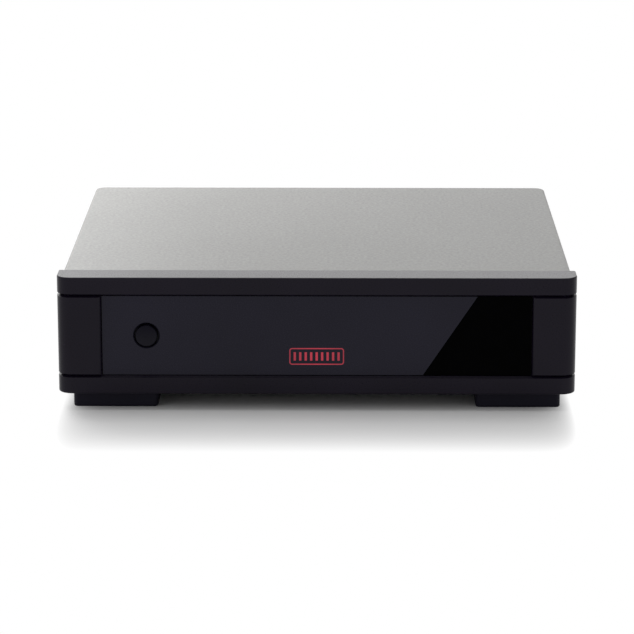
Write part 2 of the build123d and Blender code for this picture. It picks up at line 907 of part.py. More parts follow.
# Base tray with a rim all round
with BuildPart() as base_tray:
    with BuildSketch(Plane.XY.offset(base_z)) as tray_plan:
        with Locations((0, fascia_back_y)):
            Rectangle(
                2 * tray_half_width,
                rear_panel_in_y - fascia_back_y,
                align=(Align.CENTER, Align.MIN),
            )
        fillet(tray_plan.vertices().group_by(Axis.Y)[-1], radius=tray_corner_radius)
    extrude(amount=tray_rim_height)
    with BuildSketch(Plane.XY.offset(tray_floor_z)) as tray_hollow:
        with Locations((0, fascia_back_y + tray_wall)):
            Rectangle(
                2 * (tray_half_width - tray_wall),
                rear_panel_in_y - fascia_back_y - 2 * tray_wall,
                align=(Align.CENTER, Align.MIN),
            )
        fillet(
            tray_hollow.vertices().group_by(Axis.Y)[-1],
            radius=tray_corner_radius - tray_wall,
        )
    extrude(amount=tray_rim_height - tray_wall, mode=Mode.SUBTRACT)
    with Locations(*[(x, y, base_z) for x, y in foot_places]):
        Cylinder(
            screw_radius + thread_gap,
            tray_wall,
            align=(Align.CENTER, Align.CENTER, Align.MIN),
            mode=Mode.SUBTRACT,
        )
    with Locations(*[(0, y, screw_line_z) for y in cover_screw_y]):
        Cylinder(
            screw_radius + thread_gap, 2 * body_width, rotation=(0, 90, 0), mode=Mode.SUBTRACT
        )
    with BuildSketch(upright(fascia_back_y + tray_wall)):
        with Locations(*fascia_screw_places):
            Circle(screw_hole_radius)
    extrude(amount=tray_wall, mode=Mode.SUBTRACT)
    with BuildSketch(upright(rear_panel_in_y)):
        with Locations(*rear_screw_places):
            Circle(screw_radius + thread_gap)
    extrude(amount=tray_wall, mode=Mode.SUBTRACT)
base_tray.part.label = "base_tray"
export_step(base_tray.part, "parts/base_tray.step")

with BuildPart() as fascia_screws:
    with Locations(
        *[
            Plane(
                origin=(x, fascia_back_y + tray_wall, z),
                x_dir=(1, 0, 0),
                z_dir=(0, 1, 0),
            )
            for x, z in fascia_screw_places
        ]
    ):
        add(pan_screw(fascia_screw_length - tray_wall))
fascia_screws.part.label = "fascia_screws"
export_step(fascia_screws.part, "parts/fascia_screws.step")

# Rear panel with the connector holes
with BuildPart() as rear_panel:
    with BuildSketch(upright(rear_panel_out_y)):
        with Locations((0, base_z)):
            Rectangle(
                2 * rear_panel_half_width,
                cover_inner_top_z - fit_gap - base_z,
                align=(Align.CENTER, Align.MIN),
            )
        with Locations(*socket_places):
            Circle(collar_radius + fit_gap, mode=Mode.SUBTRACT)
        with Locations(*pair_places, *rear_screw_places):
            Circle(screw_hole_radius, mode=Mode.SUBTRACT)
        with Locations((earth_post_x, socket_z)):
            Circle(post_radius + fit_gap, mode=Mode.SUBTRACT)
        with Locations((inlet_x, inlet_z)):
            Circle(inlet_nose_radius + fit_gap, mode=Mode.SUBTRACT)
    extrude(amount=rear_panel_wall)
rear_panel.part.label = "rear_panel"
export_step(rear_panel.part, "parts/rear_panel.step")

with BuildPart() as rear_panel_screws:
    with Locations(
        *[
            Plane(origin=(x, rear_panel_out_y, z), x_dir=(1, 0, 0), z_dir=(0, 1, 0))
            for x, z in rear_screw_places
        ]
    ):
        add(pan_screw(cover_screw_length))
rear_panel_screws.part.label = "rear_panel_screws"
export_step(rear_panel_screws.part, "parts/rear_panel_screws.step")

# Feet
front_left_foot = foot(-1, front_foot_y)
front_left_foot.part.label = "front_left_foot"
export_step(front_left_foot.part, "parts/front_left_foot.step")

front_right_foot = foot(1, front_foot_y)
front_right_foot.part.label = "front_right_foot"
export_step(front_right_foot.part, "parts/front_right_foot.step")

rear_left_foot = foot(-1, rear_foot_y)
rear_left_foot.part.label = "rear_left_foot"
export_step(rear_left_foot.part, "parts/rear_left_foot.step")

rear_right_foot = foot(1, rear_foot_y)
rear_right_foot.part.label = "rear_right_foot"
export_step(rear_right_foot.part, "parts/rear_right_foot.step")

with BuildPart() as foot_screws:
    with Locations(
        *[Plane(origin=(x, y, foot_screw_sink), z_dir=(0, 0, -1)) for x, y in foot_places]
    ):
        add(pan_screw(foot_screw_length))
foot_screws.part.label = "foot_screws"
export_step(foot_screws.part, "parts/foot_screws.step")

# Main board on its standoffs
with BuildPart() as board_standoffs:
    with BuildSketch(Plane.XY.offset(tray_floor_z)):
        with Locations(*standoff_places):
            Circle(standoff_radius)
            Circle(screw_radius + thread_gap, mode=Mode.SUBTRACT)
    extrude(amount=standoff_height)
board_standoffs.part.label = "board_standoffs"
export_step(board_standoffs.part, "parts/board_standoffs.step")

with BuildPart() as main_board:
    with BuildSketch(Plane.XY.offset(board_bottom_z)):
        with Locations((0, board_y)):
            Rectangle(2 * board_half_width, board_length)
        with Locations(*standoff_places):
            Circle(screw_hole_radius, mode=Mode.SUBTRACT)
    extrude(amount=board_thickness)
main_board.part.label = "main_board"
export_step(main_board.part, "parts/main_board.step")

with BuildPart() as board_screws:
    with Locations(*[(x, y, board_top_z) for x, y in standoff_places]):
        add(pan_screw(board_screw_length))
board_screws.part.label = "board_screws"
export_step(board_screws.part, "parts/board_screws.step")

# Link between the two boards
link_socket_front_y = board_front_y + link_socket_setback
link_pin_z = board_top_z + link_socket_height / 2
link_width = (link_pin_count + 1) * link_pin_pitch
with BuildPart() as link_socket:
    with BuildSketch(Plane.XY.offset(board_top_z)):
        with Locations((front_board_x, link_socket_front_y)):
            Rectangle(link_width, link_socket_length, align=(Align.CENTER, Align.MIN))
    extrude(amount=link_socket_height)
    chamfer(link_socket.edges().filter_by(Axis.Z), length=block_edge_radius)
link_socket.part.label = "link_socket"
export_step(link_socket.part, "parts/link_socket.step")

with BuildPart() as link_pins:
    with BuildSketch(upright(link_socket_front_y)):
        with Locations((front_board_x, link_pin_z)):
            with GridLocations(link_pin_pitch, 1, link_pin_count, 1):
                Rectangle(link_pin_width, link_pin_width)
    extrude(amount=link_socket_front_y - front_board_back_y)
link_pins.part.label = "link_pins"
export_step(link_pins.part, "parts/link_pins.step")

# Phono sockets
input_socket_block = socket_block(input_pair_x)
input_socket_block.part.label = "input_socket_block"
export_step(input_socket_block.part, "parts/input_socket_block.step")

output_socket_block = socket_block(output_pair_x)
output_socket_block.part.label = "output_socket_block"
export_step(output_socket_block.part, "parts/output_socket_block.step")

input_sleeves = socket_sleeves(input_pair_x)
input_sleeves.part.label = "input_sleeves"
export_step(input_sleeves.part, "parts/input_sleeves.step")

output_sleeves = socket_sleeves(output_pair_x)
output_sleeves.part.label = "output_sleeves"
export_step(output_sleeves.part, "parts/output_sleeves.step")

with BuildPart() as centre_contacts:
    with BuildSketch(upright(rear_panel_out_y + socket_proud - core_recess)):
        with Locations(*socket_places):
            Circle(contact_bore_radius + contact_wall)
            Circle(contact_bore_radius, mode=Mode.SUBTRACT)
    extrude(amount=contact_length)
centre_contacts.part.label = "centre_contacts"
export_step(centre_contacts.part, "parts/centre_contacts.step")

left_insulators = insulator_rings(left_channel_places)
left_insulators.part.label = "left_insulators"
export_step(left_insulators.part, "parts/left_insulators.step")

right_insulators = insulator_rings(right_channel_places)
right_insulators.part.label = "right_insulators"
export_step(right_insulators.part, "parts/right_insulators.step")

with BuildPart() as socket_block_screws:
    with Locations(
        *[
            Plane(origin=(x, rear_panel_out_y, z), x_dir=(1, 0, 0), z_dir=(0, 1, 0))
            for x, z in pair_places
        ]
    ):
        add(pan_screw(block_screw_length))
socket_block_screws.part.label = "socket_block_screws"
export_step(socket_block_screws.part, "parts/socket_block_screws.step")

# Power inlet with its centre pin
with BuildPart() as power_inlet_body:
    with BuildSketch(upright(rear_panel_in_y)):
        with Locations((inlet_x, board_top_z)):
            Rectangle(inlet_width, inlet_height, align=(Align.CENTER, Align.MIN))
    extrude(amount=inlet_depth)
    chamfer(power_inlet_body.edges().filter_by(Axis.Y), length=block_edge_radius)
    with BuildSketch(upright(rear_panel_out_y)):
        with Locations((inlet_x, inlet_z)):
            Circle(inlet_nose_radius)
    extrude(amount=rear_panel_wall)
    with BuildSketch(upright(rear_panel_out_y)):
        with Locations((inlet_x, inlet_z)):
            Circle(inlet_bore_radius)
    extrude(amount=inlet_bore_depth, mode=Mode.SUBTRACT)
power_inlet_body.part.label = "power_inlet_body"
export_step(power_inlet_body.part, "parts/power_inlet_body.step")

with BuildPart() as power_inlet_pin:
    with BuildSketch(upright(rear_panel_out_y - inlet_pin_recess)):
        with Locations((inlet_x, inlet_z)):
            Circle(inlet_pin_radius)
    extrude(amount=inlet_bore_depth - inlet_pin_recess)
    fillet(power_inlet_pin.edges().sort_by(Axis.Y)[-1], radius=inlet_pin_radius / 2)
power_inlet_pin.part.label = "power_inlet_pin"
export_step(power_inlet_pin.part, "parts/power_inlet_pin.step")

# Earth post: stud with a hexagonal collar, ring terminal and lock nut inside
collar_out_y = rear_panel_out_y + post_collar_thickness
washer_in_y = collar_out_y + fit_gap
washer_out_y = washer_in_y + washer_thickness
thumb_nut_in_y = washer_out_y + fit_gap
thumb_nut_out_y = thumb_nut_in_y + thumb_nut_thickness
terminal_front_y = rear_panel_in_y - terminal_thickness
lock_nut_front_y = terminal_front_y - lock_nut_thickness
post_front_y = lock_nut_front_y - post_inner_reserve
with BuildPart() as earth_stud:
    with BuildSketch(upright(rear_panel_out_y + post_proud)):
        with Locations((earth_post_x, socket_z)):
            Circle(post_radius)
    extrude(amount=rear_panel_out_y + post_proud - post_front_y)
    with BuildSketch(upright(collar_out_y)):
        with Locations((earth_post_x, socket_z)):
            RegularPolygon(post_flats / 2, 6, major_radius=False)
    extrude(amount=post_collar_thickness)
earth_stud.part.label = "earth_stud"
export_step(earth_stud.part, "parts/earth_stud.step")

with BuildPart() as earth_lock_nut:
    with BuildSketch(upright(terminal_front_y)):
        with Locations((earth_post_x, socket_z)):
            RegularPolygon(post_flats / 2, 6, major_radius=False)
            Circle(post_radius + thread_gap, mode=Mode.SUBTRACT)
    extrude(amount=lock_nut_thickness)
earth_lock_nut.part.label = "earth_lock_nut"
export_step(earth_lock_nut.part, "parts/earth_lock_nut.step")

with BuildPart() as earth_washer:
    with BuildSketch(upright(washer_out_y)):
        with Locations((earth_post_x, socket_z)):
            Circle(washer_radius)
            Circle(post_radius + running_gap, mode=Mode.SUBTRACT)
    extrude(amount=washer_thickness)
earth_washer.part.label = "earth_washer"
export_step(earth_washer.part, "parts/earth_washer.step")

with BuildPart() as earth_thumb_nut:
    with BuildSketch(upright(thumb_nut_out_y)):
        with Locations((earth_post_x, socket_z)):
            Circle(thumb_nut_radius)
            Circle(post_radius + running_gap, mode=Mode.SUBTRACT)
            with PolarLocations(thumb_nut_radius, thumb_nut_flutes):
                Circle(thumb_nut_flute_radius, mode=Mode.SUBTRACT)
    extrude(amount=thumb_nut_thickness)
earth_thumb_nut.part.label = "earth_thumb_nut"
export_step(earth_thumb_nut.part, "parts/earth_thumb_nut.step")

barrel_low_z = socket_z + terminal_reach
barrel_y = rear_panel_in_y - terminal_barrel_radius
with BuildPart() as earth_terminal:
    with BuildSketch(upright(rear_panel_in_y)):
        with Locations((earth_post_x, socket_z)):
            Circle(terminal_radius)
            Rectangle(terminal_radius, terminal_reach, align=(Align.CENTER, Align.MIN))
            Circle(post_radius + thread_gap, mode=Mode.SUBTRACT)
    extrude(amount=terminal_thickness)
    with BuildSketch(Plane.XY.offset(barrel_low_z - terminal_radius / 2)):
        with Locations((earth_post_x, barrel_y)):
            Circle(terminal_barrel_radius)
    extrude(amount=terminal_barrel_length)
earth_terminal.part.label = "earth_terminal"
export_step(earth_terminal.part, "parts/earth_terminal.step")

wire_start_z = barrel_low_z - terminal_radius / 2 + terminal_barrel_length
wire_top_z = wire_start_z + earth_wire_rise
with BuildPart() as earth_wire:
    with BuildLine():
        wire_route = FilletPolyline(
            (earth_post_x, barrel_y, wire_start_z),
            (earth_post_x, barrel_y, wire_top_z),
            (earth_post_x, barrel_y - earth_wire_run, wire_top_z),
            (earth_post_x, barrel_y - earth_wire_run, board_top_z),
            radius=earth_wire_bend,
        )
    with BuildSketch(Plane.XY.offset(wire_start_z)):
        with Locations((earth_post_x, barrel_y)):
            Circle(earth_wire_radius)
    sweep(path=wire_route)
earth_wire.part.label = "earth_wire"
export_step(earth_wire.part, "parts/earth_wire.step")

# Supply parts at the left of the main board, and audio parts at the right.
# Places are counted from a side edge of the board and from its rear edge.
reservoir_places = [
    (from_left(x), -y)
    for x in spaced(reservoir_inset, reservoir_column_pitch, reservoir_columns)
    for y in spaced(reservoir_setback, reservoir_row_pitch, reservoir_rows)
]
choke_places = [
    (from_left(x), -choke_setback) for x in spaced(choke_inset, choke_pitch, choke_count)
]
diode_places = [
    (from_left(diode_inset), -y) for y in spaced(diode_setback, diode_pitch, diode_count)
]
fuse_place = (from_left(fuse_inset), -fuse_setback)
sink_places = [
    (from_left(x), -sink_setback) for x in spaced(sink_inset, sink_pitch, sink_count)
]
relay_place = (output_pair_x, -relay_setback)
transistor_left_x = input_pair_x - transistor_pitch * (transistor_columns - 1) / 2
transistor_places = [
    (x, -y)
    for x in spaced(transistor_left_x, transistor_pitch, transistor_columns)
    for y in spaced(transistor_setback, transistor_pitch, transistor_rows)
]
chip_row, electrolytic_row, film_row, resistor_row = spaced(audio_row_setback, audio_row_pitch, 4)
chip_places = [(from_right(x), -chip_row) for x in spaced(chip_inset, chip_pitch, chip_count)]
electrolytic_places = [
    (from_right(x), -electrolytic_row)
    for x in spaced(electrolytic_inset, electrolytic_pitch, electrolytic_count)
]
film_places = [(from_right(x), -film_row) for x in spaced(film_inset, film_pitch, film_count)]
resistor_places = [
    (from_right(x), -y)
    for x in spaced(resistor_inset, resistor_pitch, resistor_columns)
    for y in spaced(resistor_row, resistor_row_pitch, resistor_rows)
]

with BuildPart(board_plane()) as reservoir_capacitors:
    with Locations(*reservoir_places):
        add(upright_can(reservoir_radius, reservoir_height))
reservoir_capacitors.part.label = "reservoir_capacitors"
export_step(reservoir_capacitors.part, "parts/reservoir_capacitors.step")

with BuildPart(board_plane()) as small_electrolytics:
    with Locations(*electrolytic_places):
        add(upright_can(electrolytic_radius, electrolytic_height))
small_electrolytics.part.label = "small_electrolytics"
export_step(small_electrolytics.part, "parts/small_electrolytics.step")

with BuildPart(board_plane()) as rectifier_diodes:
    with Locations(*diode_places):
        add(axial_part(diode_radius, diode_length, diode_span))
rectifier_diodes.part.label = "rectifier_diodes"
export_step(rectifier_diodes.part, "parts/rectifier_diodes.step")

with BuildPart(board_plane()) as resistors:
    with Locations(*resistor_places):
        add(axial_part(resistor_radius, resistor_length, resistor_span))
resistors.part.label = "resistors"
export_step(resistors.part, "parts/resistors.step")

with BuildPart(board_plane()) as film_capacitors:
    with BuildSketch(board_plane()):
        with Locations(*film_places):
            Rectangle(film_length, film_width)
    extrude(amount=film_height)
    fillet(film_capacitors.edges().filter_by(Axis.Z), radius=film_edge_radius)
film_capacitors.part.label = "film_capacitors"
export_step(film_capacitors.part, "parts/film_capacitors.step")

# Wound chokes in the supply line: two flanges and a waist
with BuildPart(board_plane()) as supply_chokes:
    with Locations(*choke_places):
        Cylinder(choke_waist_radius, choke_height, align=(Align.CENTER, Align.CENTER, Align.MIN))
        Cylinder(choke_radius, choke_flange, align=(Align.CENTER, Align.CENTER, Align.MIN))
    with Locations(*[(x, y, choke_height - choke_flange) for x, y in choke_places]):
        Cylinder(choke_radius, choke_flange, align=(Align.CENTER, Align.CENTER, Align.MIN))
supply_chokes.part.label = "supply_chokes"
export_step(supply_chokes.part, "parts/supply_chokes.step")

# Supply fuse lying in two clips
fuse_axis_height = clip_base + clip_wall + fuse_radius
fuse_x, fuse_front_offset = fuse_place
clip_offset = (fuse_length - fuse_cap_length) / 2
with BuildPart(board_plane()) as fuse:
    with Locations((fuse_x, fuse_front_offset, fuse_axis_height)):
        Cylinder(fuse_radius - fuse_cap_wall, fuse_length, rotation=(90, 0, 0))
        with Locations((0, clip_offset, 0), (0, -clip_offset, 0)):
            Cylinder(fuse_radius, fuse_cap_length, rotation=(90, 0, 0))
fuse.part.label = "fuse"
export_step(fuse.part, "parts/fuse.step")

with BuildPart(board_plane()) as fuse_clips:
    with Locations(
        (fuse_x, fuse_front_offset + clip_offset, 0),
        (fuse_x, fuse_front_offset - clip_offset, 0),
    ):
        Box(
            2 * (fuse_radius + clip_wall),
            clip_width,
            fuse_axis_height + fuse_radius / 2,
            align=(Align.CENTER, Align.CENTER, Align.MIN),
        )
    with Locations((fuse_x, fuse_front_offset, fuse_axis_height)):
        Cylinder(
            fuse_radius + running_gap, fuse_length, rotation=(90, 0, 0), mode=Mode.SUBTRACT
        )
    with Locations((fuse_x, fuse_front_offset, fuse_axis_height)):
        Box(
            2 * (fuse_radius - clip_wall),
            fuse_length,
            2 * fuse_radius,
            align=(Align.CENTER, Align.CENTER, Align.MIN),
            mode=Mode.SUBTRACT,
        )
fuse_clips.part.label = "fuse_clips"
export_step(fuse_clips.part, "parts/fuse_clips.step")

# Regulators bolted flat to their heat sinks
with BuildPart(board_plane()) as heat_sinks:
    with BuildSketch(board_plane()):
        with Locations(*sink_places):
            Rectangle(sink_width, sink_base, align=(Align.CENTER, Align.MAX))
            with Locations((0, -sink_base)):
                with GridLocations(
                    (sink_width - sink_fin_thickness) / (sink_fin_count - 1), 1, sink_fin_count, 1
                ):
                    Rectangle(
                        sink_fin_thickness, sink_fin_length, align=(Align.CENTER, Align.MAX)
                    )
    extrude(amount=sink_height)
heat_sinks.part.label = "heat_sinks"
export_step(heat_sinks.part, "parts/heat_sinks.step")

tab_middle = regulator_lift + regulator_body_height
tab_top = regulator_lift + regulator_tab_height
with BuildPart(board_plane()) as voltage_regulators:
    with Locations(*[(x, y, regulator_lift) for x, y in sink_places]):
        Box(
            regulator_width,
            regulator_tab_thickness,
            regulator_tab_height,
            align=(Align.CENTER, Align.MIN, Align.MIN),
        )
        with Locations((0, regulator_tab_thickness, 0)):
            Box(
                regulator_width,
                regulator_body_depth,
                regulator_body_height,
                align=(Align.CENTER, Align.MIN, Align.MIN),
            )
    with Locations(*[(x, y, (tab_middle + tab_top) / 2) for x, y in sink_places]):
        Cylinder(
            regulator_hole_radius,
            4 * regulator_tab_thickness,
            rotation=(90, 0, 0),
            mode=Mode.SUBTRACT,
        )
    with Locations(
        *[(x, y + regulator_tab_thickness + regulator_body_depth / 2, 0) for x, y in sink_places]
    ):
        with GridLocations(2 * lead_pitch, 1, 3, 1):
            Box(
                2 * lead_radius,
                2 * lead_radius,
                regulator_lift,
                align=(Align.CENTER, Align.CENTER, Align.MIN),
            )
voltage_regulators.part.label = "voltage_regulators"
export_step(voltage_regulators.part, "parts/voltage_regulators.step")

# Muting relay behind the output sockets
with BuildPart(board_plane()) as mute_relay:
    with BuildSketch(board_plane()):
        with Locations(relay_place):
            Rectangle(relay_length, relay_width)
    extrude(amount=relay_height)
    chamfer(mute_relay.faces().sort_by(Axis.Z)[-1].edges(), length=film_edge_radius)
mute_relay.part.label = "mute_relay"
export_step(mute_relay.part, "parts/mute_relay.step")

# Input transistors: flat-sided cases on three legs
with BuildPart(board_plane()) as input_transistors:
    with BuildSketch(board_plane().offset(transistor_lift)):
        with Locations(*transistor_places):
            Circle(transistor_radius)
            with Locations((0, -transistor_flat)):
                Rectangle(
                    2 * transistor_radius,
                    transistor_radius,
                    align=(Align.CENTER, Align.MAX),
                    mode=Mode.SUBTRACT,
                )
    extrude(amount=transistor_height)
    with BuildSketch(board_plane()):
        with Locations(*transistor_places):
            with GridLocations(lead_pitch, 1, 3, 1):
                Rectangle(2 * lead_radius, 2 * lead_radius)
    extrude(amount=transistor_lift)
input_transistors.part.label = "input_transistors"
export_step(input_transistors.part, "parts/input_transistors.step")

# Amplifier chips with four pins a side
with BuildPart(board_plane()) as amplifier_chips:
    with BuildSketch(board_plane().offset(chip_lift)):
        with Locations(*chip_places):
            Rectangle(chip_length, chip_width)
    extrude(amount=chip_height)
    chamfer(amplifier_chips.faces().sort_by(Axis.Z)[-1].edges(), length=film_edge_radius)
    with BuildSketch(board_plane()):
        with Locations(*chip_places):
            with GridLocations(chip_pin_pitch, chip_width, 4, 2):
                Rectangle(chip_pin_width, chip_pin_width)
    extrude(amount=chip_lift + chip_height / 2)
amplifier_chips.part.label = "amplifier_chips"
export_step(amplifier_chips.part, "parts/amplifier_chips.step")
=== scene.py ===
import math

import bmesh
import bpy
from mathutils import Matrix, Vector


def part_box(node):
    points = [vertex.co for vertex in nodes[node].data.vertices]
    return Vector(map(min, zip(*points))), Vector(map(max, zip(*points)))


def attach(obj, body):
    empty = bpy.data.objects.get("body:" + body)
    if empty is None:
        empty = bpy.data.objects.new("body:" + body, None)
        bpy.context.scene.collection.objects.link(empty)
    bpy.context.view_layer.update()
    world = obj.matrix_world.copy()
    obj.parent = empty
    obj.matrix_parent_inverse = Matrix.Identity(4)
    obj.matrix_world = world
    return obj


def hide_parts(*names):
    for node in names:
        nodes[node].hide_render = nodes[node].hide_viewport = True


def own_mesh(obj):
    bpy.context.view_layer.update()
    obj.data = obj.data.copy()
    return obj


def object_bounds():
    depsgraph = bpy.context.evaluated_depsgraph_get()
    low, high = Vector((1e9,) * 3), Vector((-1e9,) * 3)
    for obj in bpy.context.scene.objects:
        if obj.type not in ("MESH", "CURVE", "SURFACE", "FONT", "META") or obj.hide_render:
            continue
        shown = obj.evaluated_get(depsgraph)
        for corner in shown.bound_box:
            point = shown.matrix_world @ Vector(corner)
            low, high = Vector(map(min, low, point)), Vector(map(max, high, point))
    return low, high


# Phono preamplifier in a compact half-width case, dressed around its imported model.
# Lengths are in metres, in the frame of that model: X to the right, Y to the back, Z up.

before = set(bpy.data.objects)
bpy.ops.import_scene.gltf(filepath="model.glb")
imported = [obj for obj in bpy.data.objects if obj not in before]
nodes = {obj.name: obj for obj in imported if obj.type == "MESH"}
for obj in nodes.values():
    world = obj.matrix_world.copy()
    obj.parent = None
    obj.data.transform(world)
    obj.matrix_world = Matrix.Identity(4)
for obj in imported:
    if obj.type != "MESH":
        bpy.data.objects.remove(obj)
cad_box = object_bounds()
scene = bpy.context.scene

MM = 0.001

# Most values of a noise texture lie between these two.
NOISE_SPAN = {"From Min": 0.3, "From Max": 0.7}

# How far a surface's roughness strays to each side of its own, and the size of its tone patches
MOULDED_STRAY = 0.05
METAL_STRAY = 0.06
MOULDED_PATCH = 40 * MM
METAL_PATCH = 5 * MM


# Helpers for colours and shader nodes


def linear(code):
    """An sRGB hex colour as linear RGBA, by the curve that the standard gives."""
    shares = [int(code[i : i + 2], 16) / 255 for i in (1, 3, 5)]
    return [*(c / 12.92 if c <= 0.04045 else ((c + 0.055) / 1.055) ** 2.4 for c in shares), 1.0]


def add(tree, kind, inputs=None, **settings):
    """Adds one shader node with its settings, and sets or links its inputs."""
    made = tree.nodes.new(kind)
    for name, value in settings.items():
        setattr(made, name, value)
    for key, value in (inputs or {}).items():
        if isinstance(value, bpy.types.NodeSocket):
            tree.links.new(value, made.inputs[key])
        else:
            made.inputs[key].default_value = value
    return made


def seen_or_mirrored(tree):
    """1 for the rays that see the studio straight, in a mirror or through glass, 0 for its light."""
    ray = add(tree, "ShaderNodeLightPath")
    seen = ray.outputs["Is Camera Ray"]
    for other in ("Is Glossy Ray", "Is Transmission Ray"):
        seen = add(
            tree, "ShaderNodeMath", {0: seen, 1: ray.outputs[other]}, operation="MAXIMUM"
        ).outputs[0]
    return seen


def surface(name, **sockets):
    """A new material, its tree, its shader with these sockets set, and the place on the object."""
    material = bpy.data.materials.new(name)
    material.use_nodes = True
    tree = material.node_tree
    tree.nodes.clear()
    shader = add(tree, "ShaderNodeBsdfPrincipled")
    for key, value in sockets.items():
        label = key.replace("_", " ").title().replace("Ior", "IOR")
        shader.inputs[label].default_value = value
    add(tree, "ShaderNodeOutputMaterial", {"Surface": shader.outputs["BSDF"]})
    place = add(tree, "ShaderNodeTexCoord").outputs["Object"]
    return material, tree, shader, place


def roughen(tree, shader, place, grain, smooth, rough, depth, detail=2.0):
    """A fine grain over a surface: the gloss varies between two roughnesses, and the relief is this
    deep in metres."""
    fine = add(tree, "ShaderNodeTexNoise", {"Vector": place, "Scale": 1 / grain, "Detail": detail})
    gloss = add(
        tree,
        "ShaderNodeMapRange",
        {"Value": fine.outputs["Fac"], **NOISE_SPAN, "To Min": smooth, "To Max": rough},
    )
    bump = add(tree, "ShaderNodeBump", {"Height": fine.outputs["Fac"], "Distance": depth})
    tree.links.new(gloss.outputs["Result"], shader.inputs["Roughness"])
    tree.links.new(bump.outputs["Normal"], shader.inputs["Normal"])


def drift(tree, shader, place, patch, dark, light, detail=2.0):
    """A slow drift between two hex colours, over patches of this size in metres."""
    cloud = add(tree, "ShaderNodeTexNoise", {"Vector": place, "Scale": 1 / patch, "Detail": detail})
    share = add(tree, "ShaderNodeMapRange", {"Value": cloud.outputs["Fac"], **NOISE_SPAN})
    tone = add(
        tree,
        "ShaderNodeMix",
        {0: share.outputs["Result"], 6: linear(dark), 7: linear(light)},
        data_type="RGBA",
    )
    tree.links.new(tone.outputs[2], shader.inputs["Base Color"])
    return tone


def moulded(name, dark, light, rough, grain, depth, level=0.5, ior=1.5):
    """Moulded plastic: a fine spark-eroded grain, and a slight drift of tone over the face."""
    material, tree, shader, place = surface(name, ior=ior, specular_ior_level=level)
    drift(tree, shader, place, MOULDED_PATCH, dark, light)
    roughen(tree, shader, place, grain, rough - MOULDED_STRAY, rough + MOULDED_STRAY, depth)
    return material


def metal(name, dark, light, rough, grain, depth):
    """Turned, drawn or plated metal: fine marks of the tool, and a slight tarnish."""
    material, tree, shader, place = surface(name, metallic=1.0)
    drift(tree, shader, place, METAL_PATCH, dark, light)
    roughen(tree, shader, place, grain, rough - METAL_STRAY, rough + METAL_STRAY, depth)
    return material


# Plastics of the front

# Acrylic's IOR, which is near enough that of the clear epoxy and the glass inside as well
ACRYLIC_IOR = 1.49

# Black ABS, injection moulded with a fine satin grain: near black in front with a trace of violet,
# and it takes the studio's brightness along its top and its rounded edges.
FASCIA = moulded(
    "satin_black_abs", "#0f0a17", "#150f1e", rough=0.3, grain=0.3 * MM, depth=0.004 * MM, level=0.14
)

# Smoked acrylic with a satin face: a little lighter and bluer than the moulding round it.
PANEL = moulded(
    "smoked_satin_acrylic",
    "#1c1a27",
    "#211f2d",
    rough=0.26,
    grain=0.4 * MM,
    depth=0.003 * MM,
    level=0.14,
    ior=ACRYLIC_IOR,
)

# Black thermoplastic rubber feet, matt and slightly dusty.
FOOT = moulded(
    "black_foot_rubber", "#100e1a", "#161422", rough=0.6, grain=0.3 * MM, depth=0.01 * MM, level=0.15
)

# Glass-filled nylon of sockets, inlet, switch and relay, moulded black: dry, with a greyish grain.
SOCKET = moulded(
    "black_filled_nylon", "#101012", "#1a1a1c", rough=0.45, grain=0.25 * MM, depth=0.008 * MM
)

# Acetal rings, moulded white and red to mark the left and the right channel: smooth and waxy.
WHITE_RING = moulded("white_acetal", "#e2dfd8", "#ece9e2", rough=0.35, grain=0.3 * MM, depth=0.003 * MM)
RED_RING = moulded("red_acetal", "#a3181c", "#b3201f", rough=0.35, grain=0.3 * MM, depth=0.003 * MM)


def button_abs():
    """ABS cap, moulded with a fine grain, with a painted sheen: its specular level rises from the top
    of the cap to its bottom, as shading of a dished face.
    """
    material, tree, shader, place = surface("black_button_abs")
    drift(tree, shader, place, MOULDED_PATCH, "#0c0a15", "#110f1b")
    roughen(tree, shader, place, grain=0.35 * MM, smooth=0.29, rough=0.39, depth=0.004 * MM)
    # Painted sheen and shade: the cap mirrors more towards its bottom and less towards its top,
    # standing in for the light on a dished face.
    bottom, top = (corner.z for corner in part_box("power_button"))
    height = add(tree, "ShaderNodeSeparateXYZ", {"Vector": place}).outputs["Z"]
    painted_sheen_at_bottom = 0.16
    painted_sheen_at_top = 0.045
    sheen = add(
        tree,
        "ShaderNodeMapRange",
        {
            "Value": height,
            "From Min": bottom,
            "From Max": top,
            "To Min": painted_sheen_at_bottom,
            "To Max": painted_sheen_at_top,
        },
    )
    tree.links.new(sheen.outputs["Result"], shader.inputs["Specular IOR Level"])
    return material


def dark_reflection_acrylic():
    """Black acrylic, polished smooth, with a painted dark reflection: its specular level is almost nil,
    so it stays near black from every side instead of mirroring the studio, with a trace of polishing
    haze.
    """
    # Painted dark reflection: near-black tones and a specular level of 0.01 keep the inlay black from
    # every side.
    material, tree, shader, place = surface(
        "painted_dark_reflection_acrylic", ior=ACRYLIC_IOR, specular_ior_level=0.01
    )
    haze_patch = 6 * MM
    drift(tree, shader, place, haze_patch, "#010101", "#020203")
    roughen(tree, shader, place, grain=haze_patch, smooth=0.04, rough=0.08, depth=0.0)
    return material


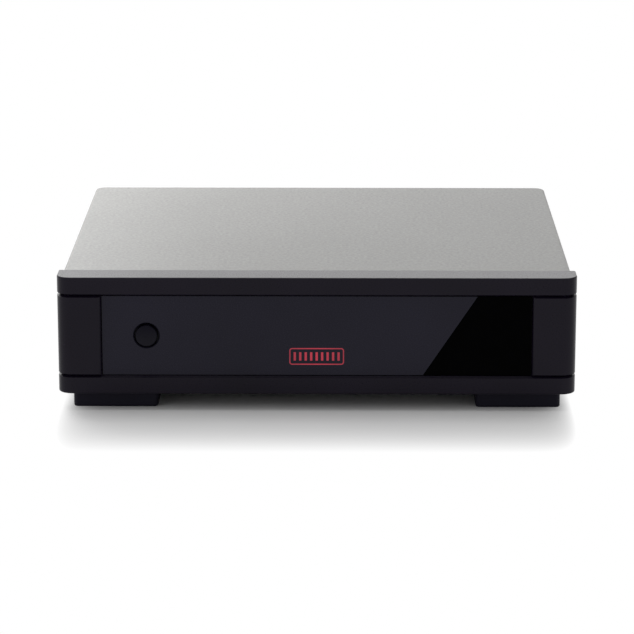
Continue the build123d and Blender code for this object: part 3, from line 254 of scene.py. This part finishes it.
def lit_acrylic():
    """Translucent red acrylic with a lamp behind it, so the scale is brightest in its middle."""
    material, tree, shader, place = surface("lit_red_acrylic", roughness=0.35)
    colour_patch = 2 * MM
    drift(tree, shader, place, colour_patch, "#8f1c30", "#9d2236")
    left, right = (corner.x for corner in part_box("indicator_marks"))
    centre = (left + right) / 2
    across = add(tree, "ShaderNodeSeparateXYZ", {"Vector": place}).outputs["X"]
    off_centre = add(tree, "ShaderNodeMath", {0: across, 1: centre}, operation="SUBTRACT")
    aside = add(tree, "ShaderNodeMath", {0: off_centre.outputs[0]}, operation="ABSOLUTE")
    glow_at_centre = 0.36
    glow_at_ends = 0.18
    glow = add(
        tree,
        "ShaderNodeMapRange",
        {
            "Value": aside.outputs[0],
            "From Max": right - centre,
            "To Min": glow_at_centre,
            "To Max": glow_at_ends,
        },
    )
    shader.inputs["Emission Color"].default_value = linear("#dc344c")
    tree.links.new(glow.outputs["Result"], shader.inputs["Emission Strength"])
    return material


def clear(name, dark, light, rough):
    """Clear or tinted acrylic, epoxy or glass, with a trace of flow marks from the mould."""
    material, tree, shader, place = surface(name, ior=ACRYLIC_IOR, transmission_weight=1.0)
    tint_patch = 4 * MM
    drift(tree, shader, place, tint_patch, dark, light)
    roughen(
        tree,
        shader,
        place,
        grain=3 * MM,
        smooth=rough,
        rough=rough + MOULDED_STRAY,
        depth=0.01 * MM,
    )
    return material


BUTTON = button_abs()
# The inlay's finish is a painted dark reflection.
PAINTED_DARK_REFLECTION = dark_reflection_acrylic()
MARKS = lit_acrylic()
GUIDE = clear("clear_acrylic", "#e4eaec", "#eef2f3", rough=0.05)
LAMP = clear("red_tinted_epoxy", "#c81c28", "#d8242e", rough=0.12)


# Coated sheet metal


def textured_coat():
    """Warm grey textured coat, sprayed on steel and baked: a fine leathery grain with faint flake
    that breaks the light into an even satin sheen, brighter towards the light."""
    material, tree, shader, place = surface("warm_grey_textured_coat", metallic=0.15, ior=1.5)
    # The coat's grain of 0.3 mm is finer than the view shows, so it is drawn as coarse as this.
    tone_grain = 1.1 * MM
    relief_grain = 0.45 * MM
    tone = drift(tree, shader, place, tone_grain, "#80807e", "#969593", detail=3.0)
    # The coat's thickness drifts, and its tone with it, by this share to each side.
    spray_patch = 60 * MM
    spray_drift = 0.03
    cloud = add(tree, "ShaderNodeTexNoise", {"Vector": place, "Scale": 1 / spray_patch})
    shade = add(
        tree,
        "ShaderNodeMapRange",
        {
            "Value": cloud.outputs["Fac"],
            **NOISE_SPAN,
            "To Min": 1 - spray_drift,
            "To Max": 1 + spray_drift,
        },
    )
    shaded = add(
        tree,
        "ShaderNodeVectorMath",
        {0: tone.outputs[2], "Scale": shade.outputs["Result"]},
        operation="SCALE",
    )
    tree.links.new(shaded.outputs["Vector"], shader.inputs["Base Color"])
    roughen(
        tree, shader, place, grain=relief_grain, smooth=0.42, rough=0.55, depth=0.02 * MM, detail=3.0
    )
    return material


def powder_coat():
    """Black powder coat on steel: satin, with the slight orange peel that the powder leaves."""
    material, tree, shader, place = surface("black_powder_coat", ior=1.5)
    tone_patch = 25 * MM
    drift(tree, shader, place, tone_patch, "#1c1c1f", "#242427")
    roughen(tree, shader, place, grain=0.9 * MM, smooth=0.45, rough=0.6, depth=0.03 * MM, detail=3.0)
    return material


COVER = textured_coat()
TRAY = powder_coat()


# Metals

# Steel screws with rolled threads: zinc plate leaves them a bright, cool grey, and black oxide near
# black with a soft oily sheen.
ZINC = metal("zinc_plated_steel", "#b4b8bb", "#c8cbcc", rough=0.32, grain=0.3 * MM, depth=0.003 * MM)
BLACK_SCREW = metal(
    "black_oxide_steel", "#2a2a2c", "#38383a", rough=0.38, grain=0.3 * MM, depth=0.003 * MM
)

# Steel spring wire, cold drawn: smooth and bright.
SPRING = metal("bright_spring_wire", "#b9bbbd", "#cfd0d1", rough=0.22, grain=0.2 * MM, depth=0.001 * MM)

# Turned brass: warm, with the fine marks of the tool. Gold or bright nickel plate over it is smoother
# and mirrors more.
BRASS = metal("turned_brass", "#c49a4a", "#d8b062", rough=0.28, grain=0.25 * MM, depth=0.002 * MM)
GOLD = metal("gold_plated_brass", "#dcae52", "#ecc468", rough=0.2, grain=0.25 * MM, depth=0.001 * MM)
NICKEL = metal(
    "bright_nickel_plate", "#c2beb4", "#d4d1c8", rough=0.2, grain=0.25 * MM, depth=0.001 * MM
)

# Extruded aluminium heat sinks, anodised black: a soft, slightly metallic black.
SINK = metal(
    "black_anodised_aluminium", "#1c1c20", "#28282c", rough=0.42, grain=0.4 * MM, depth=0.004 * MM
)


# Parts inside the case


def solder_resist():
    """Glass-epoxy board under green resist: the copper tracks show as a raised, paler pattern."""
    material, tree, shader, place = surface("green_solder_resist", ior=1.5)
    roughen(tree, shader, place, grain=0.6 * MM, smooth=0.25, rough=0.4, depth=0.0)
    # Parts stand on a 2.54 mm grid, so the tracks run along it.
    grid = 2.54 * MM
    track_width = 0.35 * MM
    track_height = 0.03 * MM
    tracks = add(
        tree,
        "ShaderNodeTexBrick",
        {
            "Vector": place,
            "Color1": linear("#0d4a2a"),
            "Color2": linear("#0f5530"),
            "Mortar": linear("#1a7040"),
            "Scale": 1.0,
            "Mortar Size": track_width,
            "Brick Width": 4 * grid,
            "Row Height": grid,
        },
    )
    bump = add(
        tree, "ShaderNodeBump", {"Height": tracks.outputs["Fac"], "Distance": track_height}
    )
    tree.links.new(tracks.outputs["Color"], shader.inputs["Base Color"])
    tree.links.new(bump.outputs["Normal"], shader.inputs["Normal"])
    return material


BOARD = solder_resist()

# Moulding compound of chips, transistors and regulators: a dry black with pale filler.
CHIP = moulded(
    "black_moulding_compound", "#161617", "#1f1f20", rough=0.5, grain=0.2 * MM, depth=0.006 * MM
)

# Shrunk PVC sleeve of the capacitors: tight and glossy, a blue-black.
CAN = moulded("shrunk_black_pvc", "#10131c", "#171b26", rough=0.25, grain=0.8 * MM, depth=0.006 * MM)

# Moulded PBT box of the film capacitors, filled with epoxy: an even yellow with a soft sheen.
FILM = moulded("yellow_pbt_box", "#c39a1d", "#d3a92a", rough=0.35, grain=0.3 * MM, depth=0.004 * MM)

# Extruded PVC jacket of the earth wire: smooth, with a dull sheen.
WIRE = moulded("green_pvc_jacket", "#23723a", "#2c8446", rough=0.4, grain=0.4 * MM, depth=0.004 * MM)

# Enamelled copper winding of the chokes: red-brown and glossy, uneven from its turns.
WINDING = moulded("enamelled_copper", "#8a3e1a", "#a2502a", rough=0.3, grain=0.25 * MM, depth=0.02 * MM)

# Dipped lacquer of the metal-film resistors: a thick, glossy blue.
RESISTOR = moulded(
    "blue_resistor_lacquer", "#3d6f9a", "#4a80ad", rough=0.28, grain=0.4 * MM, depth=0.004 * MM
)

# Drawn soda-lime tube of the fuse: clear, with a trace of green.
FUSE = clear("fuse_glass", "#dfe8e6", "#e9f0ee", rough=0.02)


# Which finish each node of the model has

FINISHES = {
    "front_fascia": FASCIA,
    "front_panel": PANEL,
    "gloss_inlay": PAINTED_DARK_REFLECTION,
    "indicator_marks": MARKS,
    "light_guide": GUIDE,
    "indicator_led": LAMP,
    "front_board": BOARD,
    "front_board_screws": ZINC,
    "power_button": BUTTON,
    "button_rod": SOCKET,
    "switch_plunger": SOCKET,
    "switch_body": SOCKET,
    "button_spring": SPRING,
    "top_cover": COVER,
    "cover_screws": BLACK_SCREW,
    "base_tray": TRAY,
    "fascia_screws": ZINC,
    "rear_panel": TRAY,
    "rear_panel_screws": BLACK_SCREW,
    "front_left_foot": FOOT,
    "front_right_foot": FOOT,
    "rear_left_foot": FOOT,
    "rear_right_foot": FOOT,
    "foot_screws": BLACK_SCREW,
    "board_standoffs": BRASS,
    "main_board": BOARD,
    "board_screws": ZINC,
    "link_socket": SOCKET,
    "link_pins": GOLD,
    "input_socket_block": SOCKET,
    "output_socket_block": SOCKET,
    "input_sleeves": GOLD,
    "output_sleeves": GOLD,
    "centre_contacts": GOLD,
    "left_insulators": WHITE_RING,
    "right_insulators": RED_RING,
    "socket_block_screws": BLACK_SCREW,
    "power_inlet_body": SOCKET,
    "power_inlet_pin": NICKEL,
    "earth_stud": BRASS,
    "earth_lock_nut": BRASS,
    "earth_washer": NICKEL,
    "earth_thumb_nut": NICKEL,
    "earth_terminal": NICKEL,
    "earth_wire": WIRE,
    "reservoir_capacitors": CAN,
    "small_electrolytics": CAN,
    "rectifier_diodes": CHIP,
    "resistors": RESISTOR,
    "film_capacitors": FILM,
    "supply_chokes": WINDING,
    "fuse": FUSE,
    "fuse_clips": NICKEL,
    "heat_sinks": SINK,
    "voltage_regulators": CHIP,
    "mute_relay": SOCKET,
    "input_transistors": CHIP,
    "amplifier_chips": CHIP,
}

for name, finish in FINISHES.items():
    node = nodes[name]
    node.data.materials.clear()
    node.data.materials.append(finish)


# Finishes of the small pieces that only the scene has

# Screen-printed epoxy ink: matt, with the slight unevenness of a thin print.
INK = moulded(
    "white_screen_ink", "#d6d7d8", "#e2e3e4", rough=0.55, grain=0.2 * MM, depth=0.002 * MM, level=0.4
)

# Bare drawn aluminium of the capacitor tops: pale, with a silky sheen.
CAN_TOP = metal("drawn_aluminium", "#c4c5c7", "#d4d5d6", rough=0.3, grain=0.3 * MM, depth=0.002 * MM)

# Pale grey print down the side of each capacitor's sleeve: nearly as glossy as the sleeve under it.
STRIPE = moulded("grey_sleeve_print", "#8b93a3", "#99a1b1", rough=0.3, grain=0.3 * MM, depth=0.002 * MM)

# Baked lacquer rings of the resistor code, thin and glossy, and the duller silver ring of a diode.
RING_BROWN = moulded(
    "brown_lacquer", "#4a2413", "#562c18", rough=0.28, grain=0.3 * MM, depth=0.002 * MM
)
RING_BLACK = moulded(
    "black_lacquer", "#101010", "#181818", rough=0.28, grain=0.3 * MM, depth=0.002 * MM
)
RING_RED = moulded("red_lacquer", "#a81f16", "#b8281d", rough=0.28, grain=0.3 * MM, depth=0.002 * MM)
RING_SILVER = metal("silver_print", "#c8c9cb", "#d6d7d8", rough=0.4, grain=0.3 * MM, depth=0.002 * MM)


# Mesh code for the small pieces

# Points round a ring or disc, and round a corner-rounded outline
ROUND_POINTS = 32
OUTLINE_POINTS = 48

# A tapered band is this much narrower at its top than at its foot.
BAND_TOP = 0.85

# Points of the model that are closer than this are one point.
SAME_POINT = 0.001 * MM


def solids(name):
    """The low and high corners of each separate solid in a node of the model."""
    node = nodes[name]
    form = bmesh.new()
    form.from_mesh(node.data)
    bmesh.ops.remove_doubles(form, verts=form.verts, dist=SAME_POINT)
    waiting = dict.fromkeys(form.verts)
    boxes = []
    while waiting:
        reach = [waiting.popitem()[0]]
        places = []
        while reach:
            point = reach.pop()
            places.append(node.matrix_world @ point.co)
            for edge in point.link_edges:
                other = edge.other_vert(point)
                if other in waiting:
                    del waiting[other]
                    reach.append(other)
        boxes.append([Vector([pick(p[i] for p in places) for i in range(3)]) for pick in (min, max)])
    form.free()
    return boxes


def loft(form, rows, ring=False, finish=0):
    """Skins closed cross-sections one after another, and closes them to a ring or with two ends."""
    made = [[form.verts.new(point) for point in row] for row in rows]
    pairs = list(zip(made, made[1:]))
    faces = []
    if ring:
        pairs.append((made[-1], made[0]))
    else:
        faces += [form.faces.new(made[0]), form.faces.new(made[-1][::-1])]
    for row, after in pairs:
        for k in range(len(row)):
            faces.append(form.faces.new((row[k - 1], row[k], after[k], after[k - 1])))
    for face in faces:
        face.material_index = finish


def block(form, low, high, finish=0):
    """A small block between two corners."""
    rows = [
        [(x, low.y, low.z), (x, high.y, low.z), (x, high.y, high.z), (x, low.y, high.z)]
        for x in (low.x, high.x)
    ]
    loft(form, rows, finish=finish)


def band(form, centre, axis, radius, half_width, stand, finish=0):
    """A thin ring round a round part, sunk as deep into it as it stands out."""
    side = axis.orthogonal().normalized()
    across = axis.cross(side)
    rows = []
    for step in range(ROUND_POINTS):
        angle = math.tau * step / ROUND_POINTS
        out = side * math.cos(angle) + across * math.sin(angle)
        rows.append(
            [
                centre + out * (radius + stand * rise) + axis * half_width * along
                for rise, along in ((-1, -1), (1, -BAND_TOP), (1, BAND_TOP), (-1, 1))
            ]
        )
    loft(form, rows, ring=True, finish=finish)


def piece(name, form, *finishes):
    """Turns mesh code into a piece with these finishes, which stays with the case."""
    bmesh.ops.recalc_face_normals(form, faces=form.faces)
    mesh = bpy.data.meshes.new(name)
    form.to_mesh(mesh)
    form.free()
    for finish in finishes:
        mesh.materials.append(finish)
    made = bpy.data.objects.new(name, mesh)
    scene.collection.objects.link(made)
    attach(made, "case")
    return made


def middle(box):
    """The middle of a box."""
    return (box[0] + box[1]) / 2


# Return spring of the power button, drawn as a coil of round wire

WIRE_RADIUS = 0.25 * MM
SPRING_TURNS = 4.5
POINTS_A_TURN = 24
WIRE_SIDES = 8


def return_spring():
    """A coil of spring wire, drawn at one length; in use it shortens against the switch as the button
    is pressed.
    """
    low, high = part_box("button_spring")
    centre = middle((low, high))
    coil = (high.x - low.x) / 2 - WIRE_RADIUS
    length = high.y - low.y
    start = Vector((centre.x, low.y + WIRE_RADIUS, centre.z))
    along = Vector((0, 1, 0))
    steps = int(POINTS_A_TURN * SPRING_TURNS)
    rows = []
    for step in range(steps + 1):
        angle = math.tau * SPRING_TURNS * step / steps
        out = Vector((math.cos(angle), 0, math.sin(angle)))
        place = start + along * (length - 2 * WIRE_RADIUS) * step / steps + out * coil
        row = []
        for side in range(WIRE_SIDES):
            turn = math.tau * side / WIRE_SIDES
            row.append(place + (out * math.cos(turn) + along * math.sin(turn)) * WIRE_RADIUS)
        rows.append(row)
    form = bmesh.new()
    loft(form, rows)
    spring = piece("return_spring", form, SPRING)
    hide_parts("button_spring")
    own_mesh(spring)


return_spring()


# Printing on the rear panel: outlines round the socket pairs, and generic signs. A rise is how far
# a sign's centre stands above the part or the outline that it belongs to.

PRINT_LINE = 0.35 * MM
PRINT_DEPTH = 0.02 * MM
WORD_HEIGHT = 3.2 * MM
CHANNEL_HEIGHT = 2.6 * MM
POLE_HEIGHT = 3 * MM
PAIR_SIDE_MARGIN = 4 * MM
PAIR_TOP_MARGIN = 6.8 * MM
PAIR_BOTTOM_MARGIN = 4 * MM
PAIR_CORNER = 2.5 * MM
WORD_RISE = 2.4 * MM
CHANNEL_RISE = 7.5 * MM
EARTH_RISE = 10.2 * MM
EARTH_STEM = 2 * MM
EARTH_BAR_GAP = 0.8 * MM
EARTH_BARS = (3.4 * MM, 2.2 * MM, 1.0 * MM)
POLE_RISE = 10 * MM
POLE_RING = 2.6 * MM
POLE_DOT = 1 * MM
POLE_LINE = 2 * MM
POLE_LINE_REACH = 2.3 * MM
POLE_SIGN_REACH = 4.6 * MM
SUPPLY_WORD_RISE = 4.2 * MM
panel_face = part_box("rear_panel")[1].y


def printed_bar(form, x, z, width, height):
    """A printed bar on the rear panel, centred on a place."""
    block(
        form,
        Vector((x - width / 2, panel_face - PRINT_DEPTH, z - height / 2)),
        Vector((x + width / 2, panel_face + PRINT_DEPTH, z + height / 2)),
    )


def printed_outline(form, x, z, width, height, corner):
    """A printed outline with round corners on the rear panel, centred on a place."""
    rows = []
    for step in range(OUTLINE_POINTS):
        angle = math.tau * (step + 0.5) / OUTLINE_POINTS
        across, up = math.cos(angle), math.sin(angle)
        row = []
        for inset, face in ((0, -1), (PRINT_LINE, -1), (PRINT_LINE, 1), (0, 1)):
            row.append(
                (
                    x + math.copysign(width / 2 - corner, across) + across * (corner - inset),
                    panel_face + face * PRINT_DEPTH,
                    z + math.copysign(height / 2 - corner, up) + up * (corner - inset),
                )
            )
        rows.append(row)
    loft(form, rows, ring=True)


def printed_word(name, words, x, z, height):
    """A generic printed word or sign on the rear panel, read from behind."""
    text = bpy.data.curves.new(name, "FONT")
    text.body = words
    text.size = height
    text.extrude = PRINT_DEPTH
    text.align_x = "CENTER"
    text.align_y = "CENTER"
    text.materials.append(INK)
    made = bpy.data.objects.new(name, text)
    made.location = (x, panel_face, z)
    made.rotation_euler = (math.pi / 2, 0.0, math.pi)
    scene.collection.objects.link(made)
    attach(made, "case")


def socket_printing(form):
    """An outline and a word round each pair of sockets, and the channel above each socket."""
    for node, word in (("input_sleeves", "IN"), ("output_sleeves", "OUT")):
        low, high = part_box(node)
        x = (low.x + high.x) / 2
        top = high.z + PAIR_TOP_MARGIN
        bottom = low.z - PAIR_BOTTOM_MARGIN
        width = high.x - low.x + 2 * PAIR_SIDE_MARGIN
        printed_outline(form, x, (bottom + top) / 2, width, top - bottom, PAIR_CORNER)
        printed_word(f"word_{word.lower()}", word, x, top + WORD_RISE, WORD_HEIGHT)
    for node, sign in (("left_insulators", "L"), ("right_insulators", "R")):
        for number, box in enumerate(solids(node)):
            centre = middle(box)
            name = f"sign_{sign.lower()}_{number}"
            printed_word(name, sign, centre.x, centre.z + CHANNEL_RISE, CHANNEL_HEIGHT)


def earth_printing(form):
    """The earth sign: an upright and three bars, each shorter than the one above it."""
    post = middle(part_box("earth_stud"))
    z = post.z + EARTH_RISE
    printed_bar(form, post.x, z + EARTH_STEM / 2, PRINT_LINE, EARTH_STEM)
    for number, width in enumerate(EARTH_BARS):
        printed_bar(form, post.x, z - number * EARTH_BAR_GAP, width, PRINT_LINE)


def supply_printing(form):
    """The supply's word, and its sign under it: a dot in a ring, with a line to plus and to minus."""
    inlet = middle(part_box("power_inlet_pin"))
    z = inlet.z + POLE_RISE
    for across in (POLE_RING, POLE_DOT):
        printed_outline(form, inlet.x, z, across, across, across / 2)
    for side, name, sign in ((-1, "sign_plus", "+"), (1, "sign_minus", "-")):
        printed_bar(form, inlet.x + side * POLE_LINE_REACH, z, POLE_LINE, PRINT_LINE)
        printed_word(name, sign, inlet.x + side * POLE_SIGN_REACH, z, POLE_HEIGHT)
    printed_word("word_supply", "DC", inlet.x, z + SUPPLY_WORD_RISE, WORD_HEIGHT)


rear_print = bmesh.new()
socket_printing(rear_print)
earth_printing(rear_print)
supply_printing(rear_print)
piece("rear_printing", rear_print, INK)


# Details of the parts on the main board. A share is of the capacitor's radius, or of its bare top's
# for the cross; places of the minus signs are shares of the sleeve's height.

BARE_SHARE = 0.8
BARE_STAND = 0.04 * MM
CROSS_SHARE = 0.7
CROSS_HALF_WIDTH = 0.12 * MM
CROSS_STAND = 0.1 * MM
STRIPE_HALF_ANGLE = math.pi / 6
STRIPE_STEPS = 8
STRIPE_MARGIN = 1 * MM
STRIPE_STAND = 0.03 * MM
MINUS_PLACES = (0.3, 0.5, 0.7)
MINUS_HALF_WIDTH_SHARE = 0.12
MINUS_HALF_DEPTH = 0.06 * MM
MINUS_HALF_HEIGHT = 0.25 * MM
RING_STAND = 0.03 * MM
LEGEND_MARGIN = 0.6 * MM
LEGEND_LINE = 0.2 * MM

# Rings on a resistor's body and on a diode's: the place along it, half the width of the ring, and
# its finish in the piece's list
BROWN, BLACK, RED, SILVER = range(4)
RINGS = {
    "resistors": (
        (-2.3 * MM, 0.3 * MM, BROWN),
        (-1.2 * MM, 0.3 * MM, BLACK),
        (-0.2 * MM, 0.3 * MM, RED),
        (0.8 * MM, 0.3 * MM, BROWN),
        (2.3 * MM, 0.3 * MM, RED),
    ),
    "rectifier_diodes": ((1.7 * MM, 0.4 * MM, SILVER),),
}


def bare_top(form, centre, top, radius):
    """The bare top of a capacitor, pressed with a venting cross."""
    disc = Vector((centre.x, centre.y, top))
    rim = []
    for step in range(ROUND_POINTS):
        angle = math.tau * step / ROUND_POINTS
        rim.append(disc + Vector((math.cos(angle), math.sin(angle), 0)) * radius)
    lift = Vector((0, 0, BARE_STAND))
    loft(form, [[point - lift for point in rim], [point + lift for point in rim]])
    arm = CROSS_SHARE * radius
    for half in ((arm, CROSS_HALF_WIDTH, CROSS_STAND), (CROSS_HALF_WIDTH, arm, CROSS_STAND)):
        block(form, disc - Vector(half), disc + Vector(half))


def minus_stripe(form, low, high, centre, radius):
    """A stripe with minus signs down a capacitor's sleeve, a sixth of the way round it in front."""
    bottom, top = low.z + STRIPE_MARGIN, high.z - STRIPE_MARGIN
    column = []
    for step in range(STRIPE_STEPS + 1):
        angle = -math.pi / 2 + STRIPE_HALF_ANGLE * (2 * step / STRIPE_STEPS - 1)
        out = Vector((math.cos(angle), math.sin(angle), 0))
        column.append(
            [
                Vector((centre.x, centre.y, z)) + out * (radius + side * STRIPE_STAND)
                for z, side in ((bottom, -1), (bottom, 1), (top, 1), (top, -1))
            ]
        )
    loft(form, column)
    half = Vector((MINUS_HALF_WIDTH_SHARE * radius, MINUS_HALF_DEPTH, MINUS_HALF_HEIGHT))
    for rise in MINUS_PLACES:
        mark = Vector((centre.x, low.y, low.z + (high.z - low.z) * rise))
        block(form, mark - half, mark + half, finish=1)


def capacitor_details():
    """Bare tops and printed stripes of all the capacitors that stand in a sleeve."""
    tops = bmesh.new()
    stripes = bmesh.new()
    for low, high in solids("reservoir_capacitors") + solids("small_electrolytics"):
        centre = middle((low, high))
        radius = (high.x - low.x) / 2
        bare_top(tops, centre, high.z, BARE_SHARE * radius)
        minus_stripe(stripes, low, high, centre, radius)
    piece("capacitor_tops", tops, CAN_TOP)
    piece("capacitor_stripes", stripes, STRIPE, CAN)


def code_rings():
    """Colour code rings on the resistors, and the ring that marks one end of each diode."""
    rings = bmesh.new()
    along = Vector((1, 0, 0))
    for name, marks in RINGS.items():
        for low, high in solids(name):
            radius = (high.y - low.y) / 2
            centre = Vector(((low.x + high.x) / 2, (low.y + high.y) / 2, high.z - radius))
            for place, half_width, colour in marks:
                band(rings, centre + along * place, along, radius, half_width, RING_STAND, colour)
    piece("code_rings", rings, RING_BROWN, RING_BLACK, RING_RED, RING_SILVER)


def board_legend():
    """White outlines on the main board round each part that stands on it."""
    legend = bmesh.new()
    board_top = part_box("main_board")[1].z
    near, far = LEGEND_MARGIN, LEGEND_MARGIN + LEGEND_LINE
    for name in ("film_capacitors", "small_electrolytics", "reservoir_capacitors", "resistors"):
        for low, high in solids(name):
            rows = []
            for x, y, x_side, y_side in (
                (low.x, low.y, -1, -1),
                (high.x, low.y, 1, -1),
                (high.x, high.y, 1, 1),
                (low.x, high.y, -1, 1),
            ):
                rows.append(
                    [
                        Vector((x + x_side * out, y + y_side * out, board_top + lift))
                        for out, lift in ((near, 0), (far, 0), (far, PRINT_DEPTH), (near, PRINT_DEPTH))
                    ]
                )
            loft(legend, rows, ring=True)
    piece("board_legend", legend, INK)


capacitor_details()
code_rings()
board_legend()


# Floor

case_low, case_high = cad_box

# How far the soft shadow reaches out of the case in front and behind, and how far inside each side
# it ends
FRONT_REACH = 49 * MM
REAR_REACH = 40 * MM
SIDE_INSET = 1 * MM

# How late the shadow gives way to white on its way out: a higher power keeps it longer
SIDE_POWER = 24.0
END_POWER = 2.6

FLOOR_SIZE = 12


def studio_floor():
    """Matt white studio paper: it keeps the soft shadow close round the case, most of it in front,
    and runs out to plain white."""
    material, tree, shader, place = surface(
        "white_studio_paper", roughness=0.9, specular_ior_level=0.0
    )
    paper_patch = 30 * MM
    drift(tree, shader, place, paper_patch, "#fbfbfb", "#fdfdfd")
    spot = add(tree, "ShaderNodeSeparateXYZ", {"Vector": place})
    aside = add(tree, "ShaderNodeMath", {0: spot.outputs["X"]}, operation="ABSOLUTE").outputs[0]
    # Each way out counts from 0 to 1, where the shadow has run out: aside from the middle of the
    # case, and to the front and the back from its ends.
    ways = []
    for value, start, end, power in (
        (aside, 0.0, case_high.x - SIDE_INSET, SIDE_POWER),
        (spot.outputs["Y"], case_low.y, case_low.y - FRONT_REACH, END_POWER),
        (spot.outputs["Y"], case_high.y, case_high.y + REAR_REACH, END_POWER),
    ):
        way = add(tree, "ShaderNodeMapRange", {"Value": value, "From Min": start, "From Max": end})
        way = add(
            tree, "ShaderNodeMath", {0: way.outputs["Result"], 1: power}, operation="POWER"
        )
        ways.append(way.outputs[0])
    out = add(tree, "ShaderNodeMath", {0: ways[0], 1: ways[1]}, operation="ADD").outputs[0]
    out = add(tree, "ShaderNodeMath", {0: out, 1: ways[2]}, operation="ADD", use_clamp=True)
    # The white is there to be seen or mirrored only, and adds no light to the case.
    share = add(
        tree,
        "ShaderNodeMath",
        {0: out.outputs[0], 1: seen_or_mirrored(tree)},
        operation="MULTIPLY",
    )
    white = add(tree, "ShaderNodeEmission", {"Color": linear("#ffffff"), "Strength": 1.0})
    mixed = add(
        tree,
        "ShaderNodeMixShader",
        {0: share.outputs[0], 1: shader.outputs["BSDF"], 2: white.outputs["Emission"]},
    )
    tree.links.new(mixed.outputs["Shader"], tree.nodes["Material Output"].inputs["Surface"])
    return material


bpy.ops.mesh.primitive_plane_add(size=FLOOR_SIZE)
floor = bpy.context.object
floor.name = "studio_floor"
floor.data.materials.append(studio_floor())


# Light and camera


def white_studio(ambient):
    """A white studio all round: plain white where it is seen or mirrored, softer as a light."""
    world = bpy.data.worlds.new("white_studio")
    scene.world = world
    world.use_nodes = True
    tree = world.node_tree
    tree.nodes.clear()
    strength = add(
        tree,
        "ShaderNodeMapRange",
        {"Value": seen_or_mirrored(tree), "To Min": ambient, "To Max": 1.0},
    )
    sky = add(tree, "ShaderNodeBackground", {"Strength": strength.outputs["Result"]})
    add(tree, "ShaderNodeOutputWorld", {"Surface": sky.outputs["Background"]})


def softbox(name, place, aim, width, height, radiance):
    """A rectangular softbox of this radiance, aimed at a point and not seen by the camera."""
    lamp = bpy.data.lights.new(name, "AREA")
    lamp.shape = "RECTANGLE"
    lamp.size = width
    lamp.size_y = height
    lamp.energy = radiance * math.pi * width * height
    holder = bpy.data.objects.new(name, lamp)
    holder.location = place
    holder.rotation_euler = (Vector(aim) - Vector(place)).to_track_quat("-Z", "Y").to_euler()
    holder.visible_camera = False
    scene.collection.objects.link(holder)


white_studio(ambient=0.5)

# Each softbox: its place, what it is aimed at, its width and height, and its radiance
case_top = (0.0, 0.0, case_high.z)
beside_cover = (-0.17, 0.16, 0.0)
for name, place, aim, width, height, radiance in (
    ("overhead_softbox", (0.0, 0.0, 1.0), case_top, 0.5, 0.5, 2.5),
    ("left_softbox", (-0.17, 0.16, 0.2), beside_cover, 0.15, 0.25, 4.6),
    ("rear_softbox", (-0.24, 1.6, 0.4), case_top, 1.5, 0.55, 1.43),
    ("front_left_softbox", (-0.75, -0.6, 0.35), case_top, 0.3, 0.4, 1.5),
):
    softbox(name, place, aim, width, height, radiance)

# The camera stands where the photograph's edges put it, and looks down and a little to the left.
LOOKS_DOWN = math.radians(14.2804)
LOOKS_LEFT = math.radians(0.4811)
camera_data = bpy.data.cameras.new("camera")
camera_data.lens = 165.83
camera_data.sensor_width = 36.0
camera_data.clip_start = 0.05
camera_data.clip_end = 50.0
camera = bpy.data.objects.new("camera", camera_data)
camera.location = (8.33 * MM, -1058.93 * MM, 282.52 * MM)
camera.rotation_euler = (math.pi / 2 - LOOKS_DOWN, 0.0, LOOKS_LEFT)
scene.collection.objects.link(camera)
scene.camera = camera
scene.view_settings.view_transform = "Standard"
